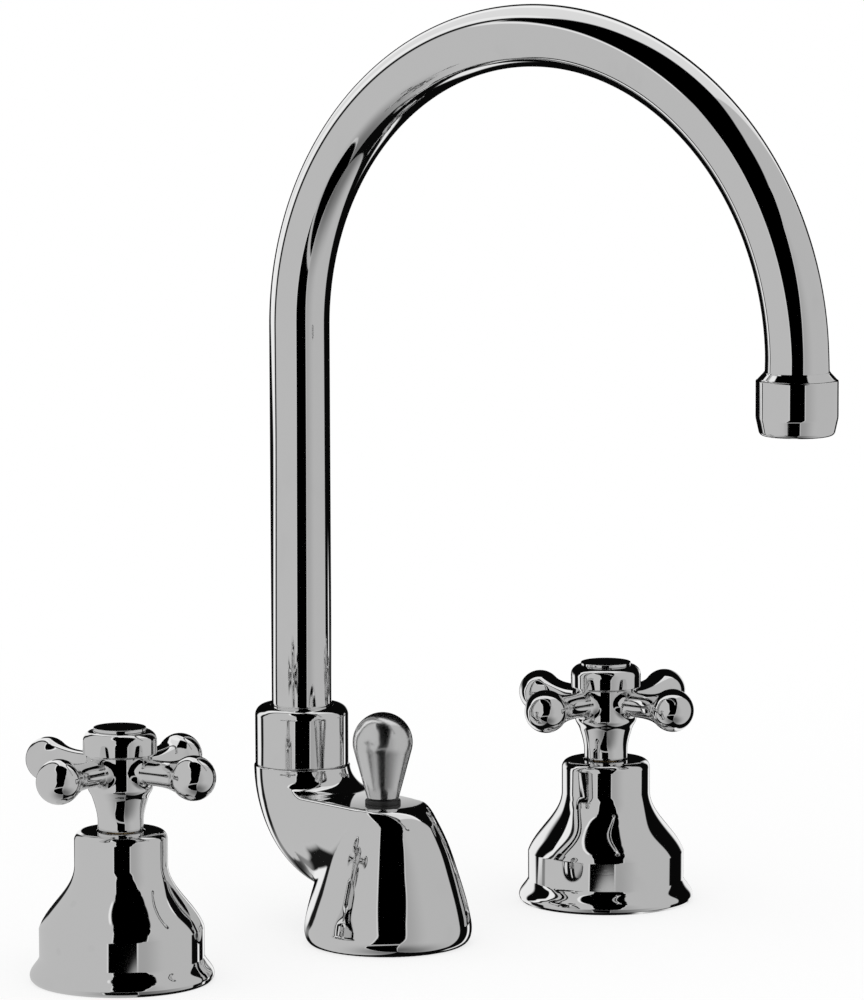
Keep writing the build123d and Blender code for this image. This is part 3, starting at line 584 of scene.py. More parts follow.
class Effects:
    """Shader node groups for the effects, each built once."""

    def __init__(self) -> None:
        """Starts with no group built."""
        self.built: dict[Effect, bpy.types.NodeTree] = {}

    def group(self, effect: Effect) -> bpy.types.NodeTree:
        """The node group of an effect, built at its first use."""
        if effect not in self.built:
            makers = {
                Effect.HANDLING: self.handling,
                Effect.HAIRLINES: self.hairlines,
                Effect.TURNING: self.turning,
                Effect.GRAIN: self.grain,
            }
            self.built[effect] = makers[effect](effect.value)
        return self.built[effect]

    def place(self, wires: Wires, effect: Effect, **values: object) -> bpy.types.Node:
        """Places an effect in a material.

        Args:
            wires: the material's tree.
            effect: which effect.
            values: numbers or links for its inputs, with _ for a space.

        Returns:
            The group node.
        """
        made = wires.node("ShaderNodeGroup")
        made.node_tree = self.group(effect)
        for key, value in values.items():
            wires.feed(made.inputs[key.replace("_", " ")], value)
        return made

    @staticmethod
    def opened(
        name: str, inputs: dict[str, float], outputs: Sequence[str]
    ) -> tuple[Wires, dict, bpy.types.Node]:
        """Opens a new group with its sockets.

        Args:
            name: the group's name.
            inputs: number inputs and their starting values; every group also takes a Position.
            outputs: names of the number outputs.

        Returns:
            The wires, the input sockets by name and the output node.
        """
        tree = bpy.data.node_groups.new(name, "ShaderNodeTree")
        tree.interface.new_socket("Position", in_out="INPUT", socket_type="NodeSocketVector")
        for key, value in inputs.items():
            made = tree.interface.new_socket(key, in_out="INPUT", socket_type="NodeSocketFloat")
            made.default_value = value
        for key in outputs:
            tree.interface.new_socket(key, in_out="OUTPUT", socket_type="NodeSocketFloat")
        wires = Wires(tree)
        entry = wires.node("NodeGroupInput")
        return wires, {socket.name: socket for socket in entry.outputs}, wires.node("NodeGroupOutput")

    def handling(self, name: str) -> bpy.types.NodeTree:
        """Faint smudges and water spots left by hands and drying drops."""
        wires, given, out = self.opened(name, {"Smudges": 0.5, "Spots": 0.5}, ("Haze", "Spots"))
        broad = wires.noise(given["Position"], 38.0, 3.0, 0.55)
        streaks = wires.noise(wires.scaled(given["Position"], (1.0, 1.0, 0.35)), 160.0, 3.0, 0.6)
        patches = wires.rise(broad, 0.52, 0.72)
        haze = wires.times(patches, wires.rise(streaks, 0.35, 0.75))
        wires.feed(out.inputs["Haze"], wires.times(haze, given["Smudges"], clamp=True))
        cells = wires.node("ShaderNodeTexVoronoi", feature="F1")
        wires.feed(cells.inputs["Vector"], given["Position"])
        wires.feed(cells.inputs["Scale"], 90.0)
        edge = wires.rise(cells.outputs["Distance"], 0.10, 0.16)
        dots = wires.minus(1.0, edge)
        scattered = wires.rise(wires.noise(given["Position"], 22.0, 1.0), 0.60, 0.70)
        spots = wires.times(dots, scattered)
        wires.feed(out.inputs["Spots"], wires.times(spots, given["Spots"], clamp=True))
        return wires.tree

    def hairlines(self, name: str) -> bpy.types.NodeTree:
        """Fine lines that polishing and wiping leave, in two crossing directions."""
        wires, given, out = self.opened(name, {"Strength": 0.5}, ("Height", "Lines"))
        heights = []
        for factors, scale in (((1.0, 1.0, 0.06), 900.0), ((0.10, 0.16, 1.0), 700.0)):
            lines = wires.noise(wires.scaled(given["Position"], factors), scale, 2.0, 0.6)
            heights.append(wires.rise(lines, 0.60, 0.72))
        lines = wires.maths("MAXIMUM", *heights)
        lines = wires.times(lines, given["Strength"], clamp=True)
        wires.feed(out.inputs["Lines"], lines)
        wires.feed(out.inputs["Height"], wires.minus(1.0, lines))
        return wires.tree

    def turning(self, name: str) -> bpy.types.NodeTree:
        """Rings that the lathe leaves round each of the three fixing axes."""
        wires, given, out = self.opened(name, {"Pitch": 900.0, "Strength": 0.5}, ("Height", "Bands"))
        parts = wires.node("ShaderNodeSeparateXYZ")
        wires.feed(parts.inputs[0], given["Position"])
        offset = SideValve.offset_x * MM
        across = wires.maths("PINGPONG", wires.plus(parts.outputs["X"], offset), offset / 2)
        squares = wires.plus(wires.maths("POWER", across, 2.0), wires.maths("POWER", parts.outputs["Y"], 2.0))
        reach = wires.maths("SQRT", squares)
        level = wires.plus(parts.outputs["Z"], reach)
        comb = wires.node("ShaderNodeCombineXYZ")
        wires.feed(comb.inputs["X"], level)
        rings = wires.noise(comb.outputs[0], given["Pitch"], 3.0, 0.7)
        broken = wires.noise(given["Position"], 120.0, 2.0)
        bands = wires.times(wires.rise(rings, 0.35, 0.65), wires.rise(broken, 0.2, 0.6, 0.5, 1.0))
        bands = wires.times(bands, given["Strength"])
        wires.feed(out.inputs["Bands"], bands)
        wires.feed(out.inputs["Height"], bands)
        return wires.tree

    def grain(self, name: str) -> bpy.types.NodeTree:
        """The fine even grain of moulded rubber and plastic, with some dust and scuffs."""
        wires, given, out = self.opened(name, {"Size": 1400.0, "Dust": 0.4}, ("Height", "Dust"))
        fine = wires.noise(given["Position"], given["Size"], 3.0, 0.6)
        wires.feed(out.inputs["Height"], fine)
        clouds = wires.noise(given["Position"], 70.0, 4.0, 0.65)
        dust = wires.times(wires.rise(clouds, 0.5, 0.8), wires.rise(fine, 0.4, 0.7))
        wires.feed(out.inputs["Dust"], wires.times(dust, given["Dust"], clamp=True))
        return wires.tree


# ---------------------------------------------------------------- finishes


@dataclass(frozen=True)
class Chrome:
    """Polished chrome plate, with polishing hairlines, faint smudges and dried water spots."""

    name: str = "polished_chrome"
    level: float = 0.82
    tarnish: float = 0.70
    roughness: float = 0.030
    haze: float = 0.055
    hairline_depth: float = 0.0000012
    smudges: float = 0.8
    spots: float = 0.5
    hairlines: float = 0.5

    def dress(self, wires: Wires, effects: Effects, shader: bpy.types.Node, position: object) -> None:
        """Wires the finish into its shader."""
        marks = effects.place(wires, Effect.HANDLING, Position=position, Smudges=self.smudges, Spots=self.spots)
        lines = effects.place(wires, Effect.HAIRLINES, Position=position, Strength=self.hairlines)
        haze = wires.maths("MAXIMUM", marks.outputs["Haze"], marks.outputs["Spots"])
        rough = wires.maths("MULTIPLY_ADD", haze, self.haze, self.roughness)
        rough = wires.maths("MULTIPLY_ADD", lines.outputs["Lines"], self.haze / 3, rough)
        wires.feed(shader.inputs["Roughness"], rough)
        tint = wires.blend(wires.times(haze, 0.5), grey(self.level), grey(self.tarnish))
        wires.feed(shader.inputs["Base Color"], tint)
        shader.inputs["Metallic"].default_value = 1.0
        wires.relief(shader, lines.outputs["Height"], 0.35, self.hairline_depth)


@dataclass(frozen=True)
class Machined:
    """Bare turned metal: brass or stainless steel, with lathe rings and dull patches."""

    name: str
    bright: tuple[float, float, float]
    dull: tuple[float, float, float]
    roughness: float = 0.24
    pitch: float = 1100.0
    depth: float = 0.000012

    def dress(self, wires: Wires, effects: Effects, shader: bpy.types.Node, position: object) -> None:
        """Wires the finish into its shader."""
        rings = effects.place(wires, Effect.TURNING, Position=position, Pitch=self.pitch, Strength=0.8)
        marks = effects.place(wires, Effect.HANDLING, Position=position, Smudges=1.0, Spots=0.8)
        patina = wires.rise(wires.noise(position, 55.0, 5.0, 0.6), 0.35, 0.75)
        patina = wires.maths("MAXIMUM", wires.times(patina, 0.7), marks.outputs["Haze"])
        wires.feed(shader.inputs["Base Color"], wires.blend(patina, (*self.bright, 1.0), (*self.dull, 1.0)))
        rough = wires.maths("MULTIPLY_ADD", patina, 0.16, self.roughness)
        rough = wires.maths("MULTIPLY_ADD", rings.outputs["Bands"], 0.08, rough)
        wires.feed(shader.inputs["Roughness"], rough)
        shader.inputs["Metallic"].default_value = 1.0
        wires.relief(shader, rings.outputs["Height"], 0.6, self.depth)


@dataclass(frozen=True)
class Moulded:
    """Moulded rubber, plastic or pressed ceramic, with its grain and a little dust."""

    name: str
    colour: tuple[float, float, float]
    dusty: tuple[float, float, float]
    roughness: float
    grain: float = 1400.0
    depth: float = 0.00003
    dust: float = 0.5

    def dress(self, wires: Wires, effects: Effects, shader: bpy.types.Node, position: object) -> None:
        """Wires the finish into its shader."""
        grain = effects.place(wires, Effect.GRAIN, Position=position, Size=self.grain, Dust=self.dust)
        tone = wires.noise(position, 45.0, 3.0, 0.5)
        mixed = wires.maths("MULTIPLY_ADD", wires.rise(tone, 0.3, 0.8), 0.2, grain.outputs["Dust"], clamp=True)
        wires.feed(shader.inputs["Base Color"], wires.blend(mixed, (*self.colour, 1.0), (*self.dusty, 1.0)))
        rough = wires.maths("MULTIPLY_ADD", grain.outputs["Dust"], 0.25, self.roughness)
        wires.feed(shader.inputs["Roughness"], rough)
        shader.inputs["Metallic"].default_value = 0.0
        wires.relief(shader, grain.outputs["Height"], 0.5, self.depth)


class Slot(Enum):
    """The record's material slots."""

    CHROME = "chrome"
    BRASS = "brass"
    STEEL = "steel"
    RUBBER = "rubber"
    BLACK_PLASTIC = "black_plastic"
    WHITE_PLASTIC = "white_plastic"
    CERAMIC = "ceramic"


Finish = Chrome | Machined | Moulded

SATIN_CHROME = Chrome(
    "satin_chrome", level=0.80, tarnish=0.66, roughness=0.20, haze=0.08, hairline_depth=0.000002
)

FINISHES: dict[Slot, Finish] = {
    Slot.CHROME: Chrome(),
    Slot.BRASS: Machined("machined_brass", (0.80, 0.60, 0.30), (0.46, 0.31, 0.14)),
    Slot.STEEL: Machined("satin_steel", (0.62, 0.62, 0.61), (0.40, 0.40, 0.40), roughness=0.30, pitch=1500.0),
    Slot.RUBBER: Moulded("black_rubber", (0.020, 0.020, 0.020), (0.09, 0.09, 0.085), roughness=0.62),
    Slot.BLACK_PLASTIC: Moulded(
        "black_nylon", (0.012, 0.012, 0.012), (0.05, 0.05, 0.05), roughness=0.38, dust=0.3
    ),
    Slot.WHITE_PLASTIC: Moulded(
        "white_acetal", (0.80, 0.80, 0.77), (0.62, 0.61, 0.57), roughness=0.34, dust=0.5
    ),
    Slot.CERAMIC: Moulded(
        "polished_ceramic", (0.86, 0.85, 0.80), (0.70, 0.68, 0.62), roughness=0.10, grain=2600.0, depth=0.000004
    ),
}


class Finisher:
    """Makes each finish's material once and puts it on pieces."""

    def __init__(self) -> None:
        """Starts with no material made."""
        self.effects = Effects()
        self.made: dict[str, bpy.types.Material] = {}

    def material(self, finish: Finish) -> bpy.types.Material:
        """The material of a finish, made at its first use."""
        if finish.name not in self.made:
            material = bpy.data.materials.new(finish.name)
            material.use_nodes = True
            material.node_tree.nodes.clear()
            wires = Wires(material.node_tree)
            shader = wires.node("ShaderNodeBsdfPrincipled")
            output = wires.node("ShaderNodeOutputMaterial")
            wires.feed(output.inputs["Surface"], shader.outputs[0])
            place = wires.node("ShaderNodeTexCoord")
            finish.dress(wires, self.effects, shader, place.outputs["Object"])
            self.made[finish.name] = material
        return self.made[finish.name]

    def coat(self, piece: bpy.types.Object, slot: Slot, finish: Finish) -> None:
        """Gives a new piece its finish."""
        piece.data.materials.clear()
        piece.data.materials.append(self.material(finish))

    def refinish(self, node: bpy.types.Object) -> None:
        """Gives a carried-over CAD node the finish of its slot."""
        slot = Slot(node.data.materials[0].name.split(".")[0])
        for holder in node.material_slots:
            holder.material = self.material(FINISHES[slot])


def fit(
    piece: bpy.types.Object,
    body: str,
    nodes: Sequence[str],
    slot: Slot,
    finisher: Finisher,
    finish: Finish | None = None,
) -> bpy.types.Object:
    """Makes a piece ride on its body, stand for its nodes and take its finish.

    Args:
        piece: the new piece, in its place.
        body: the CAD body that it rides on.
        nodes: the CAD nodes that it stands for.
        slot: the record's slot of its finish.
        finisher: where materials come from.
        finish: the finish, or None for the slot's own.

    Returns:
        The piece.
    """
    finisher.coat(piece, slot, finish or FINISHES[slot])
    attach(piece, body)
    if nodes:
        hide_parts(*nodes)
    LOG.info("%s rides on %s, stands for %s", piece.name, body, ", ".join(nodes) or "no node")
    return piece


# ---------------------------------------------------------------- the spout's foot and collar


@dataclass
class SpoutFoot:
    """The casting under the spout with its bent neck, its boss, and the collar above it."""

    finisher: Finisher
    axis: tuple[float, float] = (0.0, 41.8)
    knob_axis: tuple[float, float] = (0.0, 2.2)
    seam: float = 49.5
    plateau: float = 42.4
    side: SmoothCurve = SmoothCurve(
        (0.0, 0.8, 2.2, 4.5, 8.0, 13.0, 22.0, 30.0, 36.5, 41.0, 49.5),
        (23.5, 24.35, 25.1, 25.4, 24.95, 23.8, 21.1, 18.4, 15.4, 13.1, 9.5),
    )
    neck_radius: float = 14.75
    elbow_radius: float = 22.0
    elbow_turn: float = 90.0
    straight_length: float = 16.0
    run_out: float = 16.5
    web_inset: float = 0.05
    flare: float = 7.0
    crease: float = 2.4
    web_fillet: float = 0.1
    shoulder: float = 6.2
    shoulder_at_flank: float = 0.9
    edge: float = 0.5
    boss_radius: float = 12.4
    boss_bore: float = 11.3
    boss_height: float = 5.4
    collar_radius: float = 14.35
    collar_height: float = 18.3
    collar_shoulder: float = 3.2
    collar_bore: float = 9.55
    groove_radius: float = 10.7
    groove: tuple[float, float] = (59.6, 64.6)
    shank_socket: tuple[float, float] = (15.1, 12.0)
    seal_groove: tuple[float, float, float] = (19.3, 1.5, 2.0)
    feed_socket: tuple[float, float, float] = (-6.9, 4.6, 22.0)
    nipple_socket: tuple[float, float] = (8.5, 38.0)
    guide_socket: tuple[float, float] = (3.5, 6.0)
    rod_hole: tuple[float, float] = (2.3, 12.0)
    cast_low: tuple[float, float, float] = (-28.2, -28.2, -1.8)
    cast_high: tuple[float, float, float] = (28.2, 58.2, 51.0)
    voxel: float = 0.6

    def neck(self, x: np.ndarray, y: np.ndarray, z: np.ndarray) -> np.ndarray:
        """The bent neck: a round bar along a straight run, an elbow and a short riser."""
        turn = math.radians(self.elbow_turn)
        back = y - (self.axis[1] - self.elbow_radius)
        up = z - self.seam
        angle = np.arctan2(-up, back)
        in_elbow = (angle >= 0) & (angle <= turn)
        elbow = np.where(in_elbow, np.abs(np.hypot(back, up) - self.elbow_radius), 1e3)
        riser = np.where(up >= 0, np.abs(back - self.elbow_radius), 1e3)
        start = (self.elbow_radius * math.cos(turn), -self.elbow_radius * math.sin(turn))
        along = -(back - start[0]) * math.sin(turn) - (up - start[1]) * math.cos(turn)
        along = np.clip(along, 0, self.straight_length)
        straight = np.hypot(back - start[0] + along * math.sin(turn), up - start[1] + along * math.cos(turn))
        return np.hypot(x, np.minimum(np.minimum(elbow, riser), straight)) - self.neck_radius

    def rear_circle(self, z: np.ndarray) -> tuple[np.ndarray, np.ndarray]:
        """How far back each level outline's rear circle lies, and its radius, which shrinks under the neck."""
        drop = np.clip(self.seam - z, 0, self.run_out)
        middle = self.axis[1] - self.elbow_radius + np.sqrt(self.elbow_radius**2 - drop**2)
        slope = self.run_out / math.sqrt(self.elbow_radius**2 - self.run_out**2)
        middle = np.maximum(middle - slope * np.maximum(self.seam - self.run_out - z, 0), 1.0)
        full = self.neck_radius - self.web_inset
        under = np.clip(self.seam - self.elbow_radius - z, 0, full)
        return middle, np.sqrt(full**2 - under**2)

    def hoof(self, x: np.ndarray, y: np.ndarray, z: np.ndarray) -> np.ndarray:
        """The foot's level outlines: a front circle drawn out to a rear circle inside the neck."""
        front = self.side(z)
        distance, rear = self.rear_circle(z)
        drawn = distance > front - rear
        lean = np.clip((front - rear) / distance, -0.999, 0.999)
        level = np.sqrt(1 - lean * lean)
        side = np.abs(x)
        place = -side * lean + y * level
        front_circle = np.hypot(x, y) - front
        rear_circle = np.hypot(x, y - distance) - rear
        tangent = side * level + y * lean - front
        outline = np.where(place < 0, front_circle, np.where(place > level * distance, rear_circle, tangent))
        return np.where(drawn, outline, front_circle)

    def casting(self, points: np.ndarray) -> np.ndarray:
        """The casting's field."""
        x, y, z = points.T
        from_neck = np.hypot(x, y - self.axis[1])
        rear = eased(y, 12.0, 22.0) * (1 - eased(z, 16.0, 27.0))
        fillet = self.web_fillet + (self.crease - self.web_fillet) * rear
        body = join_round(self.hoof(x, y, z), self.neck(x, y, z), fillet)
        top = join_round(z - self.plateau, from_neck - self.neck_radius, self.flare)
        rounding = self.shoulder_at_flank * eased(from_neck, 14.75, 18.0)
        rounding = rounding + (self.shoulder - self.shoulder_at_flank) * eased(-y, 0.0, 16.0)
        body = cut_round(body, top, rounding)
        body = cut_round(body, z - self.seam, self.edge)
        body = cut_round(body, -z, self.edge)
        return np.maximum(body, -self.sockets(x, y, z, from_neck))

    def sockets(self, x: np.ndarray, y: np.ndarray, z: np.ndarray, from_neck: np.ndarray) -> np.ndarray:
        """The holes for the shank, seal, feed tail, nipple, knob guide and rod, as one field."""
        from_foot = np.hypot(x, y)
        from_knob = np.hypot(x, y - self.knob_axis[1])
        groove_middle, groove_half, groove_top = self.seal_groove
        feed_y, feed_radius, feed_top = self.feed_socket
        holes = [
            np.maximum(from_foot - self.shank_socket[0], z - self.shank_socket[1]),
            np.maximum(np.abs(from_foot - groove_middle) - groove_half, z - groove_top),
            np.maximum(np.hypot(x, y - feed_y) - feed_radius, z - feed_top),
            np.maximum(from_neck - self.nipple_socket[0], self.nipple_socket[1] - z),
            np.maximum(from_knob - self.guide_socket[0], self.plateau - self.guide_socket[1] - z),
            np.maximum(from_knob - self.rod_hole[0], self.rod_hole[1] - z),
        ]
        return np.minimum.reduce(holes)

    def build(self) -> None:
        """Builds and fits the casting, its boss and the collar."""
        caster = Caster(self.cast_low, self.cast_high, self.voxel)
        points, faces, normals = caster.mesh(self.casting)
        foot = object_from("foot_casting", points, faces.tolist(), normals)
        fit(foot, "fixed_set", ["spout_base"], Slot.CHROME, self.finisher)
        top = self.seam + self.boss_height
        boss = [
            Corner(self.boss_bore, self.seam - 0.2),
            Corner(self.boss_radius, self.seam - 0.2),
            Corner(self.boss_radius, top),
            Corner(self.boss_bore, top),
        ]
        piece = turned("collar_boss", softened(boss, closed=True), self.axis, around=96)
        fit(piece, "fixed_set", ["spout_base"], Slot.CHROME, self.finisher)
        self.collar()

    def collar(self) -> None:
        """Builds and fits the round-shouldered collar, with the bearing's groove inside."""
        low, top, outer = self.seam, self.seam + self.collar_height, self.collar_radius
        thread, step = self.boss_radius + 0.1, self.seam + self.boss_height + 0.1
        groove_low, groove_top = self.groove
        outline = [Corner(thread, low, 0.15), Corner(outer, low, self.edge)]
        shoulder = self.collar_shoulder
        outline += arc_run((outer - shoulder, top - shoulder), shoulder, 0, 90)
        outline += [
            Corner(self.collar_bore, top, 0.35),
            Corner(self.collar_bore, groove_top, 0.1),
            Corner(self.groove_radius, groove_top, 0.1),
            Corner(self.groove_radius, groove_low, 0.1),
            Corner(self.collar_bore, groove_low, 0.1),
            Corner(self.collar_bore, step, 0.1),
            Corner(thread, step, 0.1),
        ]
        piece = turned("neck_collar", softened(outline, closed=True), self.axis)
        fit(piece, "fixed_set", ["spout_collar"], Slot.CHROME, self.finisher)


# ---------------------------------------------------------------- the swan neck


@dataclass
class SwanNeck:
    """The bent tube and the aerator housing on its end."""

    finisher: Finisher
    axis: tuple[float, float] = (0.0, 41.8)
    heading: float = 13.3
    radius: float = 9.2
    wall: float = 1.2
    bottom: float = 52.4
    arc_radius: float = 91.4
    arc_height: float = 184.1
    end: float = 174.5
    flare: float = 0.15
    flare_length: float = 9.0
    around: int = 112
    aerator_radius: float = 11.9
    aerator_bottom: float = 163.8
    aerator_top: float = 179.8
    lip_bore: float = 8.3
    lip_height: float = 1.4
    ferrule_bore: float = 6.7

    def frames(self) -> tuple[np.ndarray, np.ndarray, np.ndarray]:
        """The tube's centre line as reach and height, its forward directions and its outer radii."""
        riser = np.linspace(self.bottom, self.arc_height, 30)[:-1]
        angles = np.linspace(0, math.pi, 181)
        drop = np.linspace(self.arc_height, self.end, 8)[1:]
        reach = np.concatenate(
            [
                np.zeros(len(riser)),
                self.arc_radius * (1 - np.cos(angles)),
                np.full(len(drop), 2 * self.arc_radius),
            ]
        )
        height = np.concatenate([riser, self.arc_height + self.arc_radius * np.sin(angles), drop])
        turn = np.concatenate([np.zeros(len(riser)), angles, np.full(len(drop), math.pi)])
        length = np.concatenate([[0], np.cumsum(np.hypot(np.diff(reach), np.diff(height)))])
        to_end = length[-1] - length
        radii = self.radius + self.flare * (1 - eased(to_end, 5.0, 5.0 + self.flare_length))
        return np.stack([reach, height], axis=1), np.stack([np.cos(turn), -np.sin(turn)], axis=1), radii

    def tube(self) -> bpy.types.Object:
        """The hollow bent tube."""
        line, across, radii = self.frames()
        angles = np.arange(self.around) * 2 * math.pi / self.around
        turn = math.radians(self.heading)
        forward = np.array([math.sin(turn), -math.cos(turn)])
        sideways = np.array([forward[1], -forward[0]])

        def layer(radius: np.ndarray) -> tuple[np.ndarray, np.ndarray]:
            """One wall's points and outward directions."""
            ahead = np.cos(angles)[None, :]
            aside = np.sin(angles)[None, :]
            reach_way = across[:, 0:1] * ahead
            height_way = across[:, 1:2] * ahead
            side_way = np.repeat(aside, len(line), axis=0)
            ways = np.stack(
                [
                    forward[0] * reach_way + sideways[0] * side_way,
                    forward[1] * reach_way + sideways[1] * side_way,
                    height_way,
                ],
                axis=-1,
            )
            centre = np.stack(
                [
                    self.axis[0] + forward[0] * line[:, 0],
                    self.axis[1] + forward[1] * line[:, 0],
                    line[:, 1],
                ],
                axis=-1,
            )
            return (centre[:, None, :] + ways * radius[:, None, None]).reshape(-1, 3), ways.reshape(-1, 3)

        outer, outer_ways = layer(radii)
        inner, inner_ways = layer(np.full(len(line), self.radius - self.wall))
        rows = len(line)
        index = np.arange(rows * self.around).reshape(rows, self.around)
        skin = np.stack([index[:-1], index[1:], np.roll(index[1:], -1, 1), np.roll(index[:-1], -1, 1)], axis=-1)
        skin = skin.reshape(-1, 4)
        lining = skin[:, ::-1] + rows * self.around
        ends = []
        for row, flip in ((0, False), (rows - 1, True)):
            out_row, in_row = index[row], index[row] + rows * self.around
            ring = np.stack([out_row, np.roll(out_row, -1), np.roll(in_row, -1), in_row], axis=-1)
            ends.append(ring[:, ::-1] if flip else ring)
        points = np.vstack([outer, inner])
        normals = np.vstack([outer_ways, -inner_ways])
        faces = np.vstack([skin, lining, *ends])
        return object_from("swan_neck_tube", points, faces.tolist(), normals)

    def outlet(self) -> tuple[float, float]:
        """Where the aerator's axis meets the deck plane."""
        turn = math.radians(self.heading)
        reach = 2 * self.arc_radius
        return self.axis[0] + reach * math.sin(turn), self.axis[1] - reach * math.cos(turn)

    def aerator(self) -> bpy.types.Object:
        """The aerator housing: a short cup with a tapered lower part and a soft lip."""
        bottom, top, outer = self.aerator_bottom, self.aerator_top, self.aerator_radius
        outline = [
            Corner(self.lip_bore, bottom, 0.2),
            Corner(outer - 1.15, bottom, 1.6),
            Corner(outer, bottom + 5.2, 4.0),
            Corner(outer, top, 0.35),
            Corner(outer - 1.1, top, 0.2),
            Corner(outer - 1.1, bottom + 6.4, 0.2),
            Corner(outer - 2.2, bottom + 2.9, 0.2),
            Corner(outer - 2.2, bottom + self.lip_height, 0.1),
            Corner(self.lip_bore, bottom + self.lip_height, 0.1),
        ]
        return turned("aerator_cup", softened(outline, closed=True, steps=8), self.outlet())

    def ferrule(self) -> bpy.types.Object:
        """The ferrule on the tube's end, whose chromed cone shows above the housing."""
        seal, cone, outer = self.aerator_bottom + 7.2, self.aerator_top + 0.05, self.aerator_radius - 1.2
        bore = self.radius + self.flare + 0.05
        outline = [
            Corner(self.ferrule_bore, seal, 0.1),
            Corner(outer, seal, 0.2),
            Corner(outer, cone, 0.1),
            Corner(self.aerator_radius - 0.45, cone, 0.15),
            Corner(self.aerator_radius - 0.7, cone + 0.35, 0.5),
            Corner(bore + 0.35, cone + 1.9, 0.7),
            Corner(bore, cone + 2.5, 0.1),
            Corner(bore, self.end - 0.05, 0.1),
            Corner(self.ferrule_bore, self.end - 0.05, 0.1),
        ]
        return turned("tube_ferrule", softened(outline, closed=True, steps=6), self.outlet())

    def build(self) -> None:
        """Builds and fits the tube, its ferrule and the aerator housing."""
        fit(self.tube(), "spout", ["spout_tube"], Slot.CHROME, self.finisher)
        fit(self.ferrule(), "spout", ["aerator_ferrule"], Slot.CHROME, self.finisher)
        fit(self.aerator(), "spout", ["aerator_housing"], Slot.CHROME, self.finisher)


# ---------------------------------------------------------------- the lift knob


@dataclass
class LiftKnob:
    """The teardrop knob of the waste, and the black ring that it stands on."""

    finisher: Finisher
    axis: tuple[float, float] = (0.0, 2.2)
    ring_bottom: float = 42.4
    ring_height: float = 1.3
    ring_radius: float = 5.4
    stem: tuple[float, float] = (3.4, 6.0)
    gap: float = 0.3
    ball: float = 9.1
    height: float = 26.2
    foot: float = 4.8
    bore: float = 2.05
    grip: float = 8.0

    def knob(self) -> bpy.types.Object:
        """The knob: a cone that runs into a ball."""
        bottom = self.ring_bottom + self.ring_height + self.gap
        centre = bottom + self.height - self.ball
        rise = centre - bottom
        lean = math.asin(self.ball / math.hypot(rise, self.foot)) - math.atan2(self.foot, rise)
        start = -math.degrees(lean)
        outline = [Corner(0, bottom + self.grip, 0), Corner(self.bore, bottom + self.grip, 0.2)]
        outline += [Corner(self.bore, bottom, 0.15), Corner(self.foot, bottom, 0.5)]
        outline += arc_run((0.0, centre), self.ball, start, 90.0, steps=72)[:-1]
        outline += [Corner(0, centre + self.ball, 0)]
        return turned("waste_knob", softened(outline, closed=False), self.axis)

    def ring(self) -> bpy.types.Object:
        """The black guide ring with its stem in the casting."""
        top = self.ring_bottom + self.ring_height
        stem_radius, stem_length = self.stem
        outline = [
            Corner(self.bore, self.ring_bottom - stem_length, 0.1),
            Corner(stem_radius, self.ring_bottom - stem_length, 0.2),
            Corner(stem_radius, self.ring_bottom, 0.1),
            Corner(self.ring_radius, self.ring_bottom, 0.15),
            Corner(self.ring_radius, top, 0.5),
            Corner(self.bore, top, 0.15),
        ]
        return turned("knob_guide_ring", softened(outline, closed=True), self.axis, around=96)

    def build(self) -> None:
        """Builds and fits the knob and its ring."""
        fit(self.knob(), "lift", ["lift_knob"], Slot.CHROME, self.finisher, SATIN_CHROME)
        fit(self.ring(), "fixed_set", ["lift_knob_guide"], Slot.BLACK_PLASTIC, self.finisher)


# ---------------------------------------------------------------- the side valves


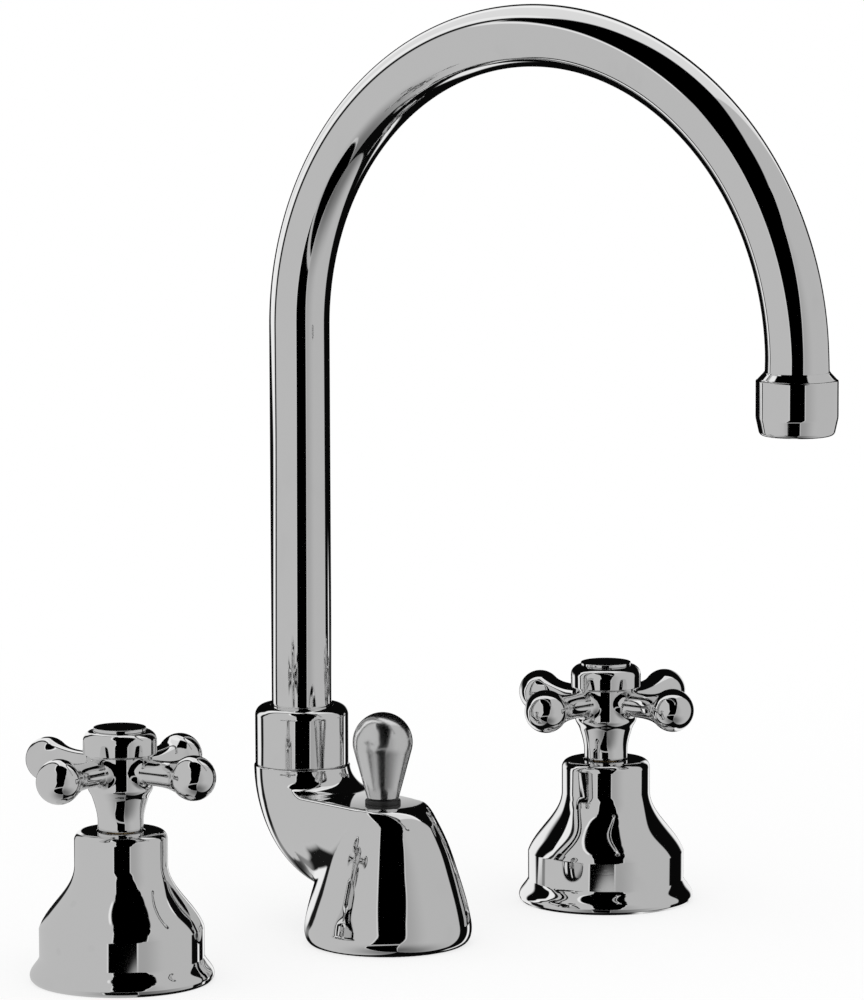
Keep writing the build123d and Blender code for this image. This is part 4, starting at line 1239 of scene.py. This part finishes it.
@dataclass
class CrossHandle:
    """The cross handle's casting: a hub with a trumpet neck and drum, and four bulb-ended arms."""

    bottom: float = 45.0
    neck_radius: float = 6.75
    neck_top: float = 47.6
    trumpet: tuple[float, float] = (54.6, 8.3)
    bowl: tuple[float, float] = (57.6, 9.6)
    drum_bottom: float = 67.5
    drum_radius: float = 10.9
    drum_top: float = 70.9
    dome: tuple[float, float] = (74.4, 8.7)
    arm_height: float = 63.0
    arm_radius: float = 3.8
    arm_straight: float = 13.5
    bulb_reach: float = 27.7
    bulb_radius: float = 6.65
    join_angle: float = 118.0
    root_fillet: float = 2.0
    spindle_hole: tuple[float, float] = (4.05, 60.3)
    screw_hole: float = 2.05
    button_seat: tuple[float, float] = (6.2, 65.9)
    voxel: float = 0.42

    def arm(self, reach: np.ndarray, aside: np.ndarray) -> np.ndarray:
        """One arm: a bar that swells into a ball.

        Args:
            reach: distance along the arm.
            aside: distance from its axis.

        Returns:
            The field.
        """
        join = math.radians(self.join_angle)
        place = self.bulb_reach + self.bulb_radius * math.cos(join)
        radius = self.bulb_radius * math.sin(join)
        value, slope = hermite(
            reach, (self.arm_straight, self.arm_radius, 0.0), (place, radius, -1 / math.tan(join))
        )
        bar = (aside - value) / np.sqrt(1 + slope**2)
        ball = np.hypot(aside, reach - self.bulb_reach) - self.bulb_radius
        return np.where(reach < place, bar, ball)

    def casting(self, points: np.ndarray) -> np.ndarray:
        """The whole casting's field, about the handle's own axis."""
        x, y, z = points.T
        out = np.hypot(x, y)
        along = np.maximum(np.abs(x), np.abs(y))
        across = np.minimum(np.abs(x), np.abs(y))
        low, low_slope = hermite(z, (self.neck_top, self.neck_radius, 0.02), (*self.trumpet, 0.32))
        high, high_slope = hermite(z, (*self.trumpet, 0.32), (*self.bowl, 0.0))
        lower = z < self.trumpet[0]
        value, slope = np.where(lower, low, high), np.where(lower, low_slope, high_slope)
        bowl = (out - value) / np.sqrt(1 + slope**2)
        bowl = cut_round(cut_round(bowl, self.bottom - z, 0.3), z - self.drum_bottom - 1.0, 0.1)
        arms = self.arm(along, np.hypot(across, z - self.arm_height))
        body = join_round(bowl, arms, self.root_fillet)
        value, slope = hermite(z, (self.drum_top, self.drum_radius, 0.0), (*self.dome, -1.9))
        drum = (out - value) / np.sqrt(1 + slope**2)
        drum = cut_round(drum, z - self.dome[0], 0.45)
        drum = cut_round(drum, self.drum_bottom - z, 0.45)
        body = join_round(body, drum, 0.3)
        return np.maximum(body, -self.bores(out, z))

    def bores(self, out: np.ndarray, z: np.ndarray) -> np.ndarray:
        """The spindle's hole, the screw's hole and the button's seat, as one field."""
        spindle = np.maximum(out - self.spindle_hole[0], z - self.spindle_hole[1])
        seat = np.maximum(out - self.button_seat[0], self.button_seat[1] - z)
        return np.minimum(np.minimum(spindle, out - self.screw_hole), seat)

    def shape(self) -> tuple[np.ndarray, np.ndarray, np.ndarray]:
        """The handle's points, faces and normals about its own axis."""
        reach = self.bulb_reach + self.bulb_radius + 1.2
        caster = Caster((-reach, -reach, self.bottom - 1.2), (reach, reach, self.dome[0] + 1.2), self.voxel)
        return caster.mesh(self.casting)


@dataclass
class SideValve:
    """One deck valve above the deck: bell skirt, cross handle and index button."""

    finisher: Finisher
    side: str
    sign: int
    handle_turn: float
    handle_shape: tuple[np.ndarray, np.ndarray, np.ndarray]
    offset_x: float = 94.0
    offset_y: float = 8.0
    rim: tuple[float, float] = (27.2, 1.7)
    band: tuple[float, float, float] = (24.35, 7.0, 15.6)
    waist: tuple[float, float] = (13.75, 34.5)
    top: float = 44.7
    shoulder: float = 2.6
    wall: float = 2.3
    top_bore: tuple[float, float] = (7.05, 2.0)
    inner_step: tuple[float, float] = (9.4, 36.0)
    spigot: tuple[float, float] = (6.1, 70.4)
    button_under: float = 74.45
    button_radius: float = 7.8
    button_rim: float = 75.35
    button_crown: float = 75.8

    @property
    def axis(self) -> tuple[float, float]:
        """The valve's axis."""
        return self.sign * self.offset_x, self.offset_y

    def skirt(self) -> bpy.types.Object:
        """The bell skirt, hollow over the valve."""
        band, low, high = self.band
        waist, waist_height = self.waist
        rim, rim_height = self.rim
        bore, lip = self.top_bore
        step, step_height = self.inner_step
        inner = band - self.wall
        outline = [Corner(inner, 0, 0.2), Corner(26.2, 0, 0.35), Corner(26.99, rim_height / 2, 0.6)]
        outline += [Corner(rim, rim_height, 0)]
        outline += flowing((rim, rim_height), (0, 1), (band, low), (-0.3, 1))
        outline += [Corner(band, high, 0)]
        outline += flowing((band, high), (-0.35, 1), (waist, waist_height), (0, 1), steps=60)
        outline += arc_run((waist - self.shoulder, self.top - self.shoulder), self.shoulder, 0, 90)
        outline += [
            Corner(bore, self.top, 0.25),
            Corner(bore, self.top - lip, 0.1),
            Corner(step, self.top - lip, 0.1),
            Corner(step, step_height, 0.1),
            Corner(waist - self.wall, step_height, 0.2),
            Corner(waist - self.wall, waist_height, 0),
        ]
        outline += flowing((waist - self.wall, waist_height), (0, -1), (inner, high), (0.35, -1), steps=40)
        return turned(f"{self.side}_bell_skirt", softened(outline, closed=True), self.axis, around=160)

    def handle(self) -> bpy.types.Object:
        """The cross handle, turned to its rest angle."""
        points, faces, normals = self.handle_shape
        turn = math.radians(self.handle_turn)
        cosine, sine = math.cos(turn), math.sin(turn)
        spin = np.array([[cosine, -sine, 0], [sine, cosine, 0], [0, 0, 1]])
        placed = points @ spin.T + np.array([*self.axis, 0])
        return object_from(f"{self.side}_cross_casting", placed, faces.tolist(), normals @ spin.T)

    def button(self) -> bpy.types.Object:
        """The plain index button with its spigot in the hub."""
        spigot, foot = self.spigot
        under, outer = self.button_under, self.button_radius
        outline = [Corner(0, foot, 0), Corner(spigot, foot, 0.3), Corner(spigot, under, 0.1)]
        outline += [Corner(outer, under, 0.12), Corner(outer, self.button_rim, 0.35)]
        crown = self.button_crown - self.button_rim
        bow = (outer**2 + crown**2) / (2 * crown)
        for radius in np.linspace(outer - 0.5, 0, 24):
            height = self.button_crown - bow + math.sqrt(bow**2 - radius**2)
            outline.append(Corner(float(radius), height, 0))
        return turned(f"{self.side}_button", softened(outline, closed=False), self.axis)

    def build(self) -> None:
        """Builds and fits the skirt, the handle and the button."""
        turning = f"{self.side}_handle"
        fit(self.skirt(), "fixed_set", [f"{self.side}_skirt"], Slot.CHROME, self.finisher)
        fit(self.handle(), turning, [f"{self.side}_cross_handle"], Slot.CHROME, self.finisher)
        fit(self.button(), turning, [f"{self.side}_index_button"], Slot.CHROME, self.finisher)


@dataclass
class HiddenFittings:
    """The fittings inside and under the deck, which keep their CAD meshes."""

    finisher: Finisher
    nodes: dict[str, bpy.types.Object] = field(default_factory=dict)

    def build(self) -> None:
        """Gives every carried-over node its slot's finish, and keeps it out of the chrome's mirror images."""
        for name, node in sorted(self.nodes.items()):
            if not node.hide_render:
                self.finisher.refinish(node)
                node.visible_glossy = False
                LOG.info("%s keeps its CAD mesh, finish %s", name, node.material_slots[0].material.name)


# ---------------------------------------------------------------- the studio


@dataclass
class Studio:
    """The camera, the deck plane, one soft lamp and the light tent that the chrome mirrors."""

    place: tuple[float, float, float] = (-1.14229, -1.42493, 0.37578)
    azimuth: float = -39.15
    elevation: float = 7.51
    roll: float = -0.21
    lens: float = 220.88
    sensor: float = 36.0
    deck_size: float = 60.0
    tent_centre: tuple[float, float, float] = (-0.1429, -0.3305, 0.12)
    tent_radius: float = 0.5

    def camera(self) -> None:
        """Sets the camera at the photograph's angle."""
        azimuth, elevation, roll = map(math.radians, (self.azimuth, self.elevation, self.roll))
        back = Vector(
            (
                math.sin(azimuth) * math.cos(elevation),
                -math.cos(azimuth) * math.cos(elevation),
                math.sin(elevation),
            )
        )
        level = Vector((math.cos(azimuth), math.sin(azimuth), 0))
        rise = back.cross(level)
        right = math.cos(roll) * level + math.sin(roll) * rise
        up = math.cos(roll) * rise - math.sin(roll) * level
        data = bpy.data.cameras.new("photo_camera")
        data.lens, data.sensor_width = self.lens, self.sensor
        data.clip_start, data.clip_end = 0.1, 50.0
        made = bpy.data.objects.new("photo_camera", data)
        bpy.context.scene.collection.objects.link(made)
        made.matrix_world = Matrix(
            (
                (right.x, up.x, back.x, self.place[0]),
                (right.y, up.y, back.y, self.place[1]),
                (right.z, up.z, back.z, self.place[2]),
                (0, 0, 0, 1),
            )
        )
        bpy.context.scene.camera = made

    def deck(self) -> None:
        """The white deck plane at the mixer's seat, left out of mirror images and plain white far away."""
        half = self.deck_size / 2
        mesh = bpy.data.meshes.new("deck_plane")
        corners = [(-half, -half, 0), (half, -half, 0), (half, half, 0), (-half, half, 0)]
        mesh.from_pydata(corners, [], [(0, 1, 2, 3)])
        made = bpy.data.objects.new("deck_plane", mesh)
        bpy.context.scene.collection.objects.link(made)
        made.visible_glossy = False
        material = bpy.data.materials.new("white_deck")
        material.use_nodes = True
        shader = material.node_tree.nodes["Principled BSDF"]
        wires = Wires(material.node_tree)
        place = wires.node("ShaderNodeTexCoord").outputs["Object"]
        pale = wires.blend(wires.noise(place, 3.0, 3.0), grey(0.93), grey(0.95))
        wires.feed(shader.inputs["Base Color"], pale)
        shader.inputs["Roughness"].default_value = 1.0
        shader.inputs["Specular IOR Level"].default_value = 0.0
        away = wires.node("ShaderNodeVectorMath", operation="LENGTH")
        wires.feed(away.inputs[0], place)
        plain = wires.rise(away.outputs["Value"], 0.15, 0.6, 0.72, 1.0)
        plain = wires.times(plain, wires.node("ShaderNodeLightPath").outputs["Is Camera Ray"])
        glow = wires.node("ShaderNodeEmission")
        mixed = wires.node("ShaderNodeMixShader")
        wires.feed(mixed.inputs[0], plain)
        wires.feed(mixed.inputs[1], shader.outputs[0])
        wires.feed(mixed.inputs[2], glow.outputs[0])
        wires.feed(material.node_tree.nodes["Material Output"].inputs["Surface"], mixed.outputs[0])
        mesh.materials.append(material)

    def lamp(self) -> None:
        """One broad soft lamp above, which mirrors don't show."""
        data = bpy.data.lights.new("overhead_softbox", "AREA")
        data.shape, data.size, data.energy = "DISK", 1.6, 6.0
        made = bpy.data.objects.new("overhead_softbox", data)
        bpy.context.scene.collection.objects.link(made)
        made.location = (-0.5, -0.6, 1.7)
        made.rotation_euler = (Vector((0, 0, 0.1)) - Vector(made.location)).to_track_quat("-Z", "Y").to_euler()
        made.visible_glossy = False

    def tent(self) -> None:
        """The light tent close round the mixer, whose screens show in mirror images alone."""
        rounded = bmesh.new()
        bmesh.ops.create_icosphere(rounded, subdivisions=5, radius=self.tent_radius)
        mesh = bpy.data.meshes.new("light_tent")
        rounded.to_mesh(mesh)
        rounded.free()
        made = bpy.data.objects.new("light_tent", mesh)
        made.location = self.tent_centre
        bpy.context.scene.collection.objects.link(made)
        made.visible_camera = made.visible_diffuse = made.visible_shadow = False
        material = bpy.data.materials.new("tent_screens")
        material.use_nodes = True
        material.node_tree.nodes.clear()
        material.cycles.emission_sampling = "NONE"
        wires = Wires(material.node_tree)
        way = wires.node("ShaderNodeVectorMath", operation="NORMALIZE")
        wires.feed(way.inputs[0], wires.node("ShaderNodeTexCoord").outputs["Object"])
        azimuth = math.radians(self.azimuth)
        aside = wires.dot(way.outputs[0], (math.cos(azimuth), math.sin(azimuth), 0))
        ahead = wires.dot(way.outputs[0], (math.sin(azimuth), -math.cos(azimuth), 0))
        compass = wires.maths("DEGREES", wires.maths("ARCTAN2", aside, ahead))
        height = wires.maths("DEGREES", wires.maths("ARCSINE", wires.dot(way.outputs[0], (0, 0, 1))))
        glow = wires.node("ShaderNodeEmission")
        wires.feed(glow.inputs["Strength"], Screens(wires, compass, height).level())
        output = wires.node("ShaderNodeOutputMaterial")
        wires.feed(output.inputs["Surface"], glow.outputs[0])
        mesh.materials.append(material)

    def surroundings(self) -> None:
        """The world: plain white to the camera and in mirrors, and plain grey light."""
        world = bpy.data.worlds.new("studio_surroundings")
        bpy.context.scene.world = world
        world.use_nodes = True
        world.node_tree.nodes.clear()
        wires = Wires(world.node_tree)
        rays = wires.node("ShaderNodeLightPath")
        seen = wires.maths("MAXIMUM", rays.outputs["Is Glossy Ray"], rays.outputs["Is Transmission Ray"])
        seen = wires.maths("MAXIMUM", seen, rays.outputs["Is Camera Ray"])
        shade = wires.node("ShaderNodeBackground")
        shade.inputs["Color"].default_value = grey(1.0)
        wires.feed(shade.inputs["Strength"], wires.slide(seen, 0.92, 1.0))
        output = wires.node("ShaderNodeOutputWorld")
        wires.feed(output.inputs["Surface"], shade.outputs[0])

    def build(self) -> None:
        """Sets up the whole studio."""
        bpy.context.scene.view_settings.view_transform = "Standard"
        self.camera()
        self.deck()
        self.lamp()
        self.tent()
        self.surroundings()


Points = tuple[tuple[float, float], ...]

# The screens' edges in degrees. They are fitted to the photo: its light and dark edges were followed
# to the directions that the model mirrors there. Heights run along the slit's
# and the backdrop's sides, compass angles along the top edge and the arch.
TOP_EDGE: Points = (
    (-180, 49.5), (-171, 48.5), (-160, 44), (-153, 40.5), (-147, 35), (-143, 38), (-130, 45), (-115, 50.5),
    (-100, 55), (-85, 58), (-70, 58), (-60, 53), (-40, 40), (40, 32), (60, 52), (75, 58), (95, 62),
    (130, 63), (145, 59), (160, 52), (180, 49.5),
)
SLIT_LEFT: Points = (
    (-180, -92), (-45, -80), (-37, -64), (-33, -57), (-28, -50), (-20, -43), (-12, -38), (-5, -33.5),
    (0, -32.5), (10, -35), (20, -38), (30, -41), (40, -46), (47, -52), (53, -60), (60, -92), (180, -92),
)
SLIT_RIGHT: Points = (
    (-180, 6), (-60, 8), (-35, 15), (-28, 19), (-20, 24), (-10, 29), (0, 30.5), (10, 32), (20, 36.5),
    (30, 43), (40, 49.5), (47, 55), (52, 61), (60, 92), (180, 92),
)
ARCH: Points = ((-180, 0), (150, 0), (157, 7), (160, 15), (165, 21.5), (170, 26), (175, 28.5), (180, 29))
BACKDROP_LEFT: Points = (
    (-180, -156), (-16, -156), (-13, -150.5), (-10, -148), (-7, -148), (-2, -145.5), (1, -144), (4, -144.5),
    (16, -147), (33, -149), (180, -149),
)
WHITE_GAPS = ((-171.0, -164.5, -20.0, -6.0), (175.5, 179.5, -32.0, -4.0))


@dataclass
class Screens:
    """The light tent's screens as a brightness over compass angle and height, both in degrees."""

    wires: Wires
    compass: bpy.types.NodeSocket
    height: bpy.types.NodeSocket
    edge: float = 1.0
    fine: float = 0.8
    finer: float = 0.7
    backdrop_right: float = 160.5
    left_panel: float = 0.575
    right_panel: tuple[float, float] = (0.42, 0.54)
    panel_top: float = 0.92
    panel_foot: float = 0.35
    under_arch: float = 0.003
    over_arch: tuple[float, float] = (1.02, 0.84)
    gap_level: float = 0.95
    backdrop_edge: float = 0.98
    backdrop_line: float = 0.01
    rim_width: float = 3.6
    rim_share: float = 0.4
    floor_strip: tuple[float, float] = (-38.5, -32.0)
    floor_margin: float = 4.5
    floor_level: float = 0.5

    def curve(self, along: bpy.types.NodeSocket, points: Points) -> bpy.types.NodeSocket:
        """A value in degrees that follows points of another angle and its value."""
        made = self.wires.node("ShaderNodeFloatCurve")
        bent = made.mapping.curves[0]
        shares = [((angle + 180) / 360, (value + 180) / 360) for angle, value in points]
        bent.points[0].location, bent.points[1].location = shares[0], shares[-1]
        for share in shares[1:-1]:
            bent.points.new(*share)
        for point in bent.points:
            point.handle_type = "VECTOR"
        made.mapping.update()
        self.wires.feed(made.inputs["Value"], self.wires.maths("MULTIPLY_ADD", along, 1 / 360, 0.5))
        return self.wires.maths("MULTIPLY_ADD", made.outputs[0], 360.0, -180.0)

    def past(self, value: object, edge: object, width: float) -> bpy.types.NodeSocket:
        """1 where a value is past an edge, 0 before it."""
        return self.wires.rise(self.wires.minus(value, edge), -width, width)

    def within(self, value: object, low: object, high: object, width: float) -> bpy.types.NodeSocket:
        """1 where a value is between two edges."""
        kept = self.wires.minus(1.0, self.past(value, high, width))
        return self.wires.times(self.past(value, low, width), kept)

    def panels(self, top: bpy.types.NodeSocket) -> bpy.types.NodeSocket:
        """The grey panel on each side, paler under its top edge on the left and darker towards the floor."""
        wires = self.wires
        right = wires.rise(self.compass, 30.0, 90.0, *self.right_panel)
        found = wires.slide(self.past(self.compass, 0.0, 1.0), self.left_panel, right)
        under = wires.minus(top, self.height)
        across = self.within(self.compass, -150.0, -92.0, 6.0)
        lit = wires.times(self.within(under, -2.0, 3.6, self.fine), across)
        found = wires.slide(lit, found, self.panel_top)
        low = wires.rise(self.height, -75.0, -26.0, self.panel_foot, 1.0)
        return wires.times(found, low)

    def behind(self, found: bpy.types.NodeSocket) -> bpy.types.NodeSocket:
        """The backdrop: pale above a dark arch, white at its left, dark with two white gaps below."""
        wires = self.wires
        arch = self.curve(wires.maths("ABSOLUTE", self.compass), ARCH)
        above = wires.minus(self.height, arch)
        pale = wires.slide(self.past(above, 5.5, 1.5), *self.over_arch)
        drop = wires.slide(self.past(above, 0.0, self.fine), self.under_arch, pale)
        for low, high, bottom, top in WHITE_GAPS:
            across = self.within(self.compass, low, high, self.fine)
            gap = wires.times(across, self.within(self.height, bottom, top, 1.5))
            drop = wires.slide(gap, drop, self.gap_level)
        left = self.curve(self.height, BACKDROP_LEFT)
        tall = self.past(self.height, -16.0, 2.0)
        edge = self.within(self.compass, wires.minus(left, 8.0), wires.plus(left, 0.6), self.finer)
        line = self.within(self.compass, wires.minus(left, 3.2), wires.plus(left, 0.6), 0.6)
        outside = wires.minus(1.0, self.within(self.compass, left, self.backdrop_right, self.finer))
        found = wires.slide(outside, found, drop)
        found = wires.slide(wires.times(edge, tall), found, self.backdrop_edge)
        return wires.slide(wires.times(line, tall), found, self.backdrop_line)

    def level(self) -> bpy.types.NodeSocket:
        """The brightness that mirrors see."""
        wires = self.wires
        top = self.curve(self.compass, TOP_EDGE)
        left = self.curve(self.height, SLIT_LEFT)
        right = self.curve(self.height, SLIT_RIGHT)
        found = self.behind(self.panels(top))
        left_rim = self.within(self.compass, wires.minus(left, self.rim_width), left, self.fine)
        right_rim = self.within(self.compass, right, wires.plus(right, self.rim_width), self.fine)
        found = wires.slide(wires.times(wires.plus(left_rim, right_rim), self.rim_share), found, 1.0)
        found = wires.slide(self.within(self.compass, left, right, self.edge), found, 0.0)
        low, high = wires.minus(left, self.floor_margin), wires.plus(right, self.floor_margin)
        across = self.within(self.compass, low, high, self.fine)
        floor = wires.times(self.within(self.height, *self.floor_strip, self.finer), across)
        found = wires.slide(floor, found, self.floor_level)
        return wires.slide(self.past(self.height, top, self.edge), found, 0.0)


def main() -> None:
    """Builds the mixer's pieces in order, then the studio."""
    logging.basicConfig(level=logging.INFO, format="%(message)s")
    finisher = Finisher()
    SpoutFoot(finisher).build()
    SwanNeck(finisher).build()
    LiftKnob(finisher).build()
    cross = CrossHandle().shape()
    SideValve(finisher, "hot", -1, 13.9, cross).build()
    SideValve(finisher, "cold", 1, 7.4, cross).build()
    HiddenFittings(finisher, frame["nodes"]).build()
    Studio().build()


if __name__ == "__main__":
    main()
